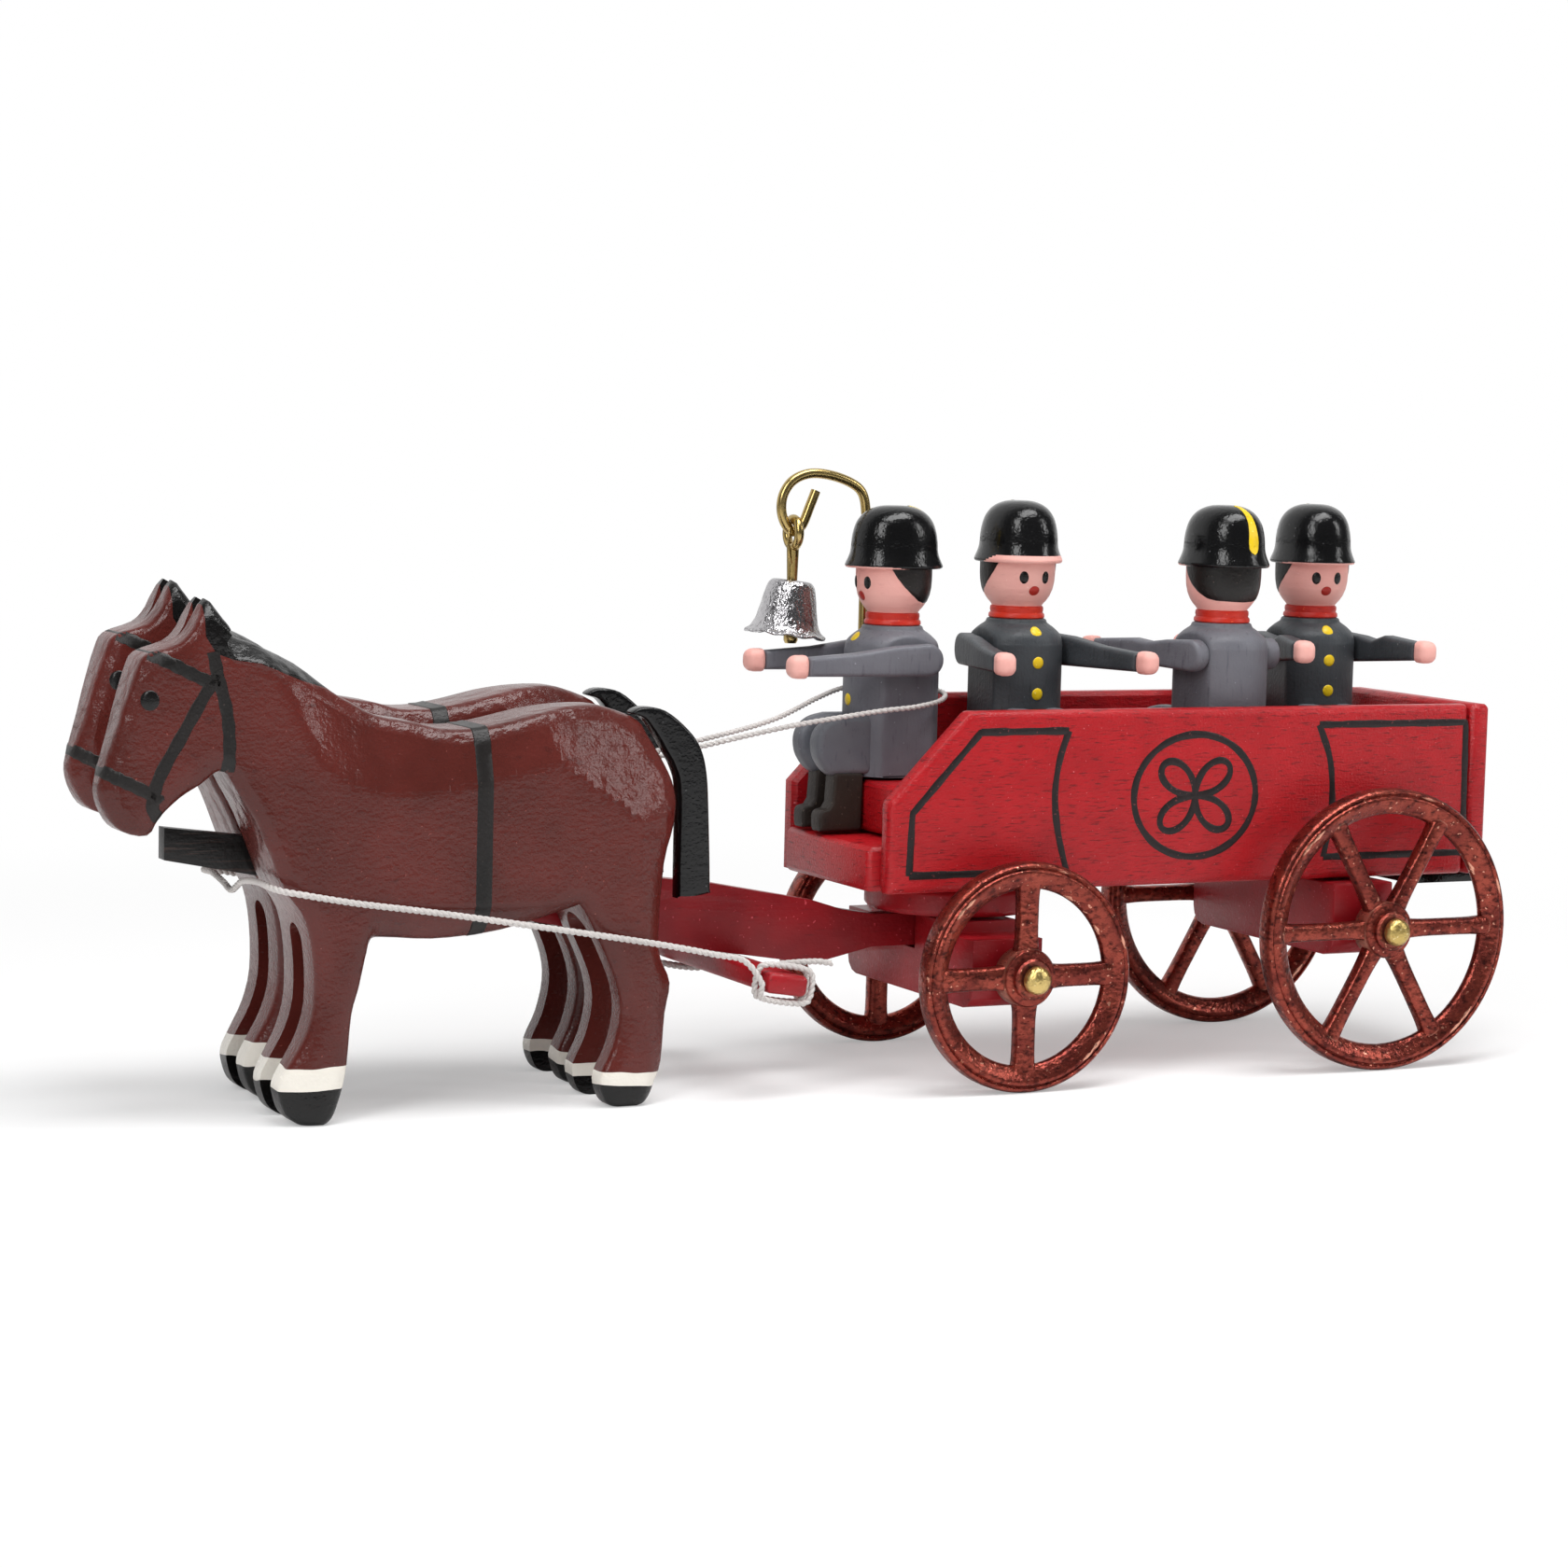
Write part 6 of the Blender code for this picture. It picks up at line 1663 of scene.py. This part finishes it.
@dataclass
class Bell:
    """The wire hook, the bell that hangs crooked from it, its hanger and its clapper."""

    x: float = FRONT_AXLE_X - 0.0140
    y: float = 0.0111
    pivot_z: float = 0.0555
    top: float = 0.0504
    wall: float = 0.0005
    hole: float = 0.00072
    tilt: float = 7.0
    wire: float = 0.00052
    tie: float = 0.00014
    ripple: float = 0.007
    ripple_waves: tuple = ((7, 2600), (11, 1700))
    lip_depth: float = 0.0050
    lip_height: float = 0.0008
    lip_wave: float = 0.00012
    lip_waves: int = 9
    strap: float = 0.00050
    eye: float = 0.00145
    eye_gap: float = 0.0003
    shank_start: float = 0.0013
    shank_radii: Pair = (0.00066, 0.00052)

    def hook(self) -> None:
        """Bends the wire from its post over to the bell, with a thin end hanging beside it."""
        route = smooth_line([(FRONT_AXLE_X - reach, self.y, z) for reach, z in HOOK_ROUTE], 12)
        piece("bell_hook_wire", tube(route, self.wire, 20), BRASS, WAGON, "bell_hook")
        thin = smooth_line(((0.0016, self.y - 0.0004, 0.0560), (0.0014, self.y - 0.0006, 0.0545),
                            (0.0015, self.y - 0.0006, 0.0530), (0.0019, self.y - 0.0004, 0.0521)), 8)
        piece("bell_tie_wire", tube(thin, self.tie, 10), BRASS, "bell")

    def cup(self) -> None:
        """Turns the bell with its flared lip and tips it about its crown.

        The cast surface ripples by the product of two sines that wind round it in opposite ways,
        and the lip waves by a sine of the angle.
        """
        line = smooth_line(BELL_PROFILE, 5)
        inside = line[::-1] - np.array([self.wall * 0.9, 0.0])
        inside[:, 1] = np.minimum(inside[:, 1], -self.wall)
        inside[:, 0] = np.maximum(inside[:, 0], self.hole)
        points, faces = turned(np.concatenate([line, inside, line[:1]]), 96)
        angle = np.arctan2(points[:, 1], points[:, 0])
        (first, rise), (second, fall) = self.ripple_waves
        wave = np.sin(first * angle + points[:, 2] * rise) * np.sin(second * angle - points[:, 2] * fall)
        points[:, :2] *= (1.0 + self.ripple * wave)[:, None]
        lip = np.clip((-points[:, 2] - self.lip_depth) / self.lip_height, 0.0, 1.0)
        points[:, 2] += lip * self.lip_wave * np.sin(self.lip_waves * angle)
        points = points @ turning(math.radians(self.tilt), "Y").T
        points = points + np.array([self.x, self.y, self.top])
        piece("bell_plated", (points, faces), SILVER, "bell", "bell_cup")

    def hanger(self) -> None:
        """Bends a brass eye over the hook, with a shank down through the crown and the clapper."""
        height = self.pivot_z + self.wire + self.eye_gap + self.strap - self.eye
        turn = np.radians(np.linspace(-80.0, 260.0, 40))
        loop = np.stack([np.full(40, self.x), self.y + self.eye * np.cos(turn),
                         height + self.eye * np.sin(turn)], 1)
        shank = np.array([(self.x, self.y, z)
                          for z in np.linspace(height - self.shank_start, BEAD_PROFILE[0][1], 12)])
        axis = np.array([self.x, self.y, 0.0])
        bead, clapper = ((points + axis, faces) for points, faces in (
            turned(BEAD_PROFILE, 24), turned(CLAPPER_PROFILE, 28)))
        parts = [tube(loop, self.strap, 18), tube(shank, np.linspace(*self.shank_radii, 12), 18), bead]
        piece("bell_hanger_strap", joined(parts), BRASS, "bell", "bell_hanger")
        piece("bell_clapper_rod", clapper, BRASS, "bell", "bell_clapper")

    def build(self) -> None:
        """Builds the bell and its hook."""
        self.hook()
        self.cup()
        self.hanger()


# Half of the trace's route, in distance ahead of the front axle, place across and height: its
# loose tail, and the run from the swingletree round the chest; and the drop on the far side
TRACE_TAIL = hundredths((1900, -1040, 1310), (2100, -1060, 1340))
TRACE_HALF = hundredths((3000, -1310, 1420), (3300, -1310, 1490), (4100, -1290, 1650),
    (6000, -1270, 1970), (7000, -1270, 2120), (7550, -1250, 2220), (7720, -1170, 2250),
    (7790, -1000, 2270), (7800, -700, 2280), (7820, -300, 2240))
TRACE_MIDDLE = hundredths((7830, 0, 2120))
TRACE_DROP = 0.0008
# The rein's route between its two holes in the pole, laid out in the same way
REIN_MIDDLE = hundredths((6640, -10, 2640), (6500, -30, 2700), (6200, -60, 2760), (4500, -60, 3100),
    (3000, -60, 3410), (2000, -90, 3610), (1300, -150, 3720), (900, -160, 3770), (580, -170, 3800),
    (260, -60, 3840), (50, 160, 3880), (-30, 420, 3910), (50, 680, 3930), (260, 890, 3940),
    (560, 980, 3940), (900, 910, 3910), (1300, 700, 3820), (2000, 340, 3630), (3000, 75, 3450),
    (4500, 65, 3140), (6400, 60, 2800), (6780, 30, 2755), (6940, 10, 2690))


@dataclass
class Draught:
    """The pole, the swingletree and the two threads."""

    swingletree_reach: float = 0.0253
    depth: float = 0.0045
    thickness: float = 0.0021
    gap: float = 0.0003
    belly: Pair = (0.0163, 0.0116)
    shoulder: Pair = (0.0280, 0.0134)
    winding_y: float = 0.0112
    winding_pitch: float = 0.0013
    winding_turns: float = 1.75
    winding_steps: int = 12
    winding_room: float = 0.0004
    pole_start: Pair = (0.0280, 0.0203)
    pole_end: Pair = (0.0853, 0.02745)
    rein_holes: Pair = (0.0670, 0.0700)
    hole_depth: float = 0.0017
    lay: float = 0.0013
    ply_step: float = 0.00013
    ply_crisp: float = 80.0
    ply_offset: float = 0.6
    trace_ply: float = 0.00021
    rein_ply: float = 0.00018
    blend_start: Place = (0.0045, 0.0, 0.038)
    blend_end: Place = (-0.0175, 0.0, 0.034)

    def winding(self, sign: int) -> np.ndarray:
        """Winds the thread round the bar: a squarish oval, tilted with the bar.

        Its half-sizes are multiplied by the signed roots of the cosine and the sine.

        Args:
            sign: -1 for the near end and 1 for the far end.

        Returns:
            Points from the tail outwards.
        """
        rise, run = self.shoulder[1] - self.belly[1], self.shoulder[0] - self.belly[0]
        slope = math.atan2(rise, run)
        height = self.belly[1] + rise * (self.swingletree_reach - self.belly[0]) / run
        height -= (self.gap + self.thickness / 2) / math.cos(slope)
        room = THREAD_RADIUS + self.winding_room
        index = np.arange(round(self.winding_turns * self.winding_steps) + 1)
        angle = math.pi / 2 - 2 * np.pi * index / self.winding_steps
        x = (self.depth / 2 + room) * np.sign(np.cos(angle)) * np.sqrt(np.abs(np.cos(angle)))
        z = (self.thickness / 2 + room) * np.sign(np.sin(angle)) * np.sqrt(np.abs(np.sin(angle)))
        oval = np.stack([x, 0 * x, z], axis=1) @ turning(slope, "Y").T
        y = sign * (self.winding_y + self.winding_pitch * index / self.winding_steps)
        return np.stack([FRONT_AXLE_X - self.swingletree_reach + oval[:, 0], y, height + oval[:, 2]],
                        axis=1)

    def trace_path(self) -> np.ndarray:
        """Lays the trace from one end of the swingletree round both chests to the other.

        Returns:
            Points along a smooth curve.
        """
        flip, shift = np.array([-1.0, 1.0, 1.0]), np.array([FRONT_AXLE_X, 0.0, 0.0])
        tail, half, middle = (table * flip + shift for table in (TRACE_TAIL, TRACE_HALF, TRACE_MIDDLE))
        mirror, drop = np.array([1.0, -1.0, 1.0]), np.array([0.0, 0.0, TRACE_DROP])
        near = [tail, self.winding(-1), half]
        far = [half[::-1] * mirror - drop, self.winding(1)[::-1], tail[::-1] * mirror]
        return smooth_line(np.concatenate([*near, middle, *far]), 10)

    def rein_path(self) -> np.ndarray:
        """Lays the rein from the pole round the driver's back to the pole.

        Returns:
            Points along a smooth curve.
        """
        (low_x, low_z), (high_x, high_z) = self.pole_start, self.pole_end
        tops = [low_z + (high_z - low_z) * (reach - low_x) / (high_x - low_x) for reach in self.rein_holes]
        start, end = ([(reach, 0.0, top - self.hole_depth), (reach, 0.0, top + THREAD_RADIUS)]
                      for reach, top in zip(self.rein_holes, tops))
        route = np.array([*start, *REIN_MIDDLE, *end[::-1]])
        route[:, 0] = FRONT_AXLE_X - route[:, 0]
        return smooth_line(route, 10)

    def thread(self, name: str, path: np.ndarray, ply: float) -> bpy.types.Object:
        """Twists two plies round a path: each is a tube whose middle turns about the path.

        Args:
            name: The piece's name.
            path: Points along the thread.
            ply: Radius of each ply.

        Returns:
            The thread, not dressed yet.
        """
        length = np.concatenate([[0.0], np.cumsum(np.linalg.norm(np.diff(path, axis=0), axis=1))])
        at = np.linspace(0.0, length[-1], int(length[-1] / self.ply_step))
        dense = np.stack([np.interp(at, length, path[:, k]) for k in range(3)], axis=1)
        normal, square = frames_along(dense)
        plies = []
        for phase in (0.0, np.pi):
            angle = (at / self.lay * 2 * np.pi + phase)[:, None]
            middle = dense + self.ply_offset * ply * (normal * np.cos(angle) + square * np.sin(angle))
            plies.append(tube(middle, ply, 8))
        return make_object(name, *joined(plies), sharp=self.ply_crisp)

    def build(self) -> None:
        """Builds the pole, the swingletree, the pegs and both threads."""
        # The pole's darker red is painted shade, for the shadow that it lies in
        for node, width, finish in (("pole", 0.0002, SHADED_POLE_RED), ("swingletree", 0.0002, DARKER_RED),
                                    ("horse_peg_front", 0.0001, BARE_WOOD),
                                    ("horse_peg_rear", 0.0001, BARE_WOOD)):
            softened(node, width, finish, CARRIAGE)
        for name, path, node, ply in (("trace_cord", self.trace_path(), "trace_thread", self.trace_ply),
                                      ("rein_cord", self.rein_path(), "rein_thread", self.rein_ply)):
            cord = self.thread(name, path, ply)
            cord.data.materials.append(COTTON.material())
            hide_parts(node)
            if node == "trace_thread":
                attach(cord, CARRIAGE)
            else:
                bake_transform(cord)


@dataclass
class Studio:
    """The camera, the soft lights and the pale floor."""

    place: Place = (-0.17438, -0.35082, 0.06929)
    yaw: float = 25.964
    pitch: float = 5.728
    roll: float = 1.445
    lens: float = 88.06
    sensor: float = 36.0
    clip: Pair = (0.01, 20.0)
    aim: Place = (0.0, 0.0, 0.02)
    lamps: tuple = (("key", (-0.36, -0.28, 0.34), (0.14, 0.34), 1.10),
                    ("fill", (0.44, -0.30, 0.28), (0.10, 0.26), 0.56),
                    ("top", (0.04, -0.12, 0.48), (0.42, 0.18), 2.0))
    backdrop: Pair = (0.0, 0.5)
    room_light: Pair = (0.32, 0.12)
    floor_half: float = 4.0
    fade: Pair = (0.07, 0.22)
    fade_share: float = 0.35

    def camera(self) -> None:
        """Stands the camera where the photograph was taken from."""
        yaw, pitch, roll = (math.radians(angle) for angle in (self.yaw, self.pitch, self.roll))
        ahead = Vector((math.sin(yaw) * math.cos(pitch), math.cos(yaw) * math.cos(pitch), -math.sin(pitch)))
        level = Vector((math.cos(yaw), -math.sin(yaw), 0.0))
        upright = level.cross(ahead)
        right = level * math.cos(roll) + upright * math.sin(roll)
        up = -level * math.sin(roll) + upright * math.cos(roll)
        data = bpy.data.cameras.new("camera")
        data.lens = self.lens
        data.sensor_width = self.sensor
        data.clip_start, data.clip_end = self.clip
        camera = placed("camera", data)
        turn = Matrix((right, up, -ahead)).transposed().to_4x4()
        camera.matrix_world = Matrix.Translation(self.place) @ turn
        bpy.context.scene.camera = camera

    def lamp(self, name: str, place: Place, size: Pair, watts: float) -> None:
        """Hangs an oblong lamp that faces the wagon.

        Args:
            name: The lamp's name.
            place: Where it hangs.
            size: Its width and height.
            watts: Its power.
        """
        data = bpy.data.lights.new(name, "AREA")
        data.shape = "RECTANGLE"
        data.size, data.size_y = size
        data.energy = watts
        lamp = placed(name, data)
        lamp.location = place
        lamp.rotation_euler = (Vector(self.aim) - Vector(place)).to_track_quat("-Z", "Y").to_euler()

    def world(self) -> None:
        """Lights the scene dimly from all round, with a white backdrop behind the wagon.

        The backdrop shows to the camera and in reflections, and the room is dimmer in reflections.
        """
        world = bpy.data.worlds.new("studio")
        world.use_nodes = True
        tree = world.node_tree
        tree.nodes.clear()
        rays = add_node(tree, "LightPath").outputs
        heading = add_node(tree, "SeparateXYZ", {0: add_node(tree, "TexCoord").outputs["Generated"]})
        behind = add_node(tree, "MapRange", {"Value": heading.outputs[1], "From Min": self.backdrop[0],
                                             "From Max": self.backdrop[1]}, interpolation_type="SMOOTHSTEP")
        gloss = add_node(tree, "Math", {0: rays["Is Glossy Ray"], 1: behind}, operation="MULTIPLY")
        seen = add_node(tree, "Math", {0: rays["Is Camera Ray"], 1: rays["Is Transmission Ray"]},
                        operation="MAXIMUM")
        seen = add_node(tree, "Math", {0: seen, 1: gloss}, operation="MAXIMUM")
        dim = add_node(tree, "MapRange", {"Value": rays["Is Glossy Ray"], "To Min": self.room_light[0],
                                          "To Max": self.room_light[1]})
        level = add_node(tree, "MapRange", {"Value": seen, "To Min": dim, "To Max": 1.0})
        light = add_node(tree, "Background", {"Color": linear("#FFFFFF"), "Strength": level})
        tree.links.new(light.outputs[0], add_node(tree, "OutputWorld").inputs[0])
        bpy.context.scene.world = world

    def floor(self) -> None:
        """Lays a pale floor that fades into the white behind it."""
        half = self.floor_half
        mesh = bpy.data.meshes.new("floor")
        mesh.from_pydata([(-half, -half, 0.0), (half, -half, 0.0), (half, half, 0.0), (-half, half, 0.0)],
                         [], [[0, 1, 2, 3]])
        floor = placed("floor", mesh)
        made = bpy.data.materials.new("pale_floor")
        made.use_nodes = True
        tree = made.node_tree
        tree.nodes.clear()
        place = add_node(tree, "TexCoord").outputs["Object"]
        away = add_node(tree, "VectorMath", {0: place}, operation="LENGTH")
        fade = add_node(tree, "MapRange", {"Value": away.outputs["Value"], "From Min": self.fade[0],
                                           "From Max": self.fade[1], "To Min": self.fade_share},
                        interpolation_type="SMOOTHSTEP")
        rays = add_node(tree, "LightPath").outputs
        share = add_node(tree, "Math", {0: fade, 1: rays["Is Camera Ray"]}, operation="MULTIPLY")
        matt = add_node(tree, "BsdfDiffuse", {"Color": linear("#F6F6F6")})
        white = add_node(tree, "Emission", {"Color": linear("#FFFFFF"), "Strength": 1.0})
        both = add_node(tree, "MixShader", {0: share, 1: matt, 2: white})
        tree.links.new(both.outputs[0], add_node(tree, "OutputMaterial").inputs[0])
        mesh.materials.append(made)

    def build(self) -> None:
        """Sets up the camera, the lamps and the floor."""
        self.camera()
        for lamp in self.lamps:
            self.lamp(*lamp)
        self.world()
        self.floor()
        bpy.context.scene.view_settings.view_transform = "Standard"


def main() -> None:
    """Builds the studio and every sub-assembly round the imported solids."""
    logging.basicConfig(level=logging.INFO, format="%(name)s: %(message)s")
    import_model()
    assemblies = [Studio(), Draught(), WagonBody()]
    for side in Side:
        assemblies.append(Wheel("rear", side, WAGON, axle_x=FRONT_AXLE_X + 0.0434, radius=0.0150,
                                spokes=6, spoke_width=0.0018))
        assemblies.append(Wheel("front", side, CARRIAGE, axle_x=FRONT_AXLE_X, radius=0.01175,
                                spokes=4, spoke_width=0.0023))
    assemblies += [
        Horse(Side.NEAR),
        Horse(Side.FAR, setback=0.0009, stretch=1.02),
        Fireman("driver", behind=-0.0056, across=0.0042, seat=0.0305, turn=0.0, splay=0.0, drop=0.0006),
        Fireman("front_fireman", behind=0.0092, across=0.0042, seat=0.0312, turn=90.0, splay=13.0,
                drop=0.0006, lip=0.0008, coat=COAT_DARK),
        Fireman("middle_fireman", behind=0.0295, across=-0.0042, seat=0.0312, turn=-80.0, splay=6.0,
                drop=0.0),
        Fireman("rear_fireman", behind=0.0463, across=0.0042, seat=0.0312, turn=83.0, splay=8.0,
                drop=-0.0004, coat=COAT_DARK),
        Bell(),
    ]
    for assembly in assemblies:
        assembly.build()


if __name__ == "__main__":
    main()
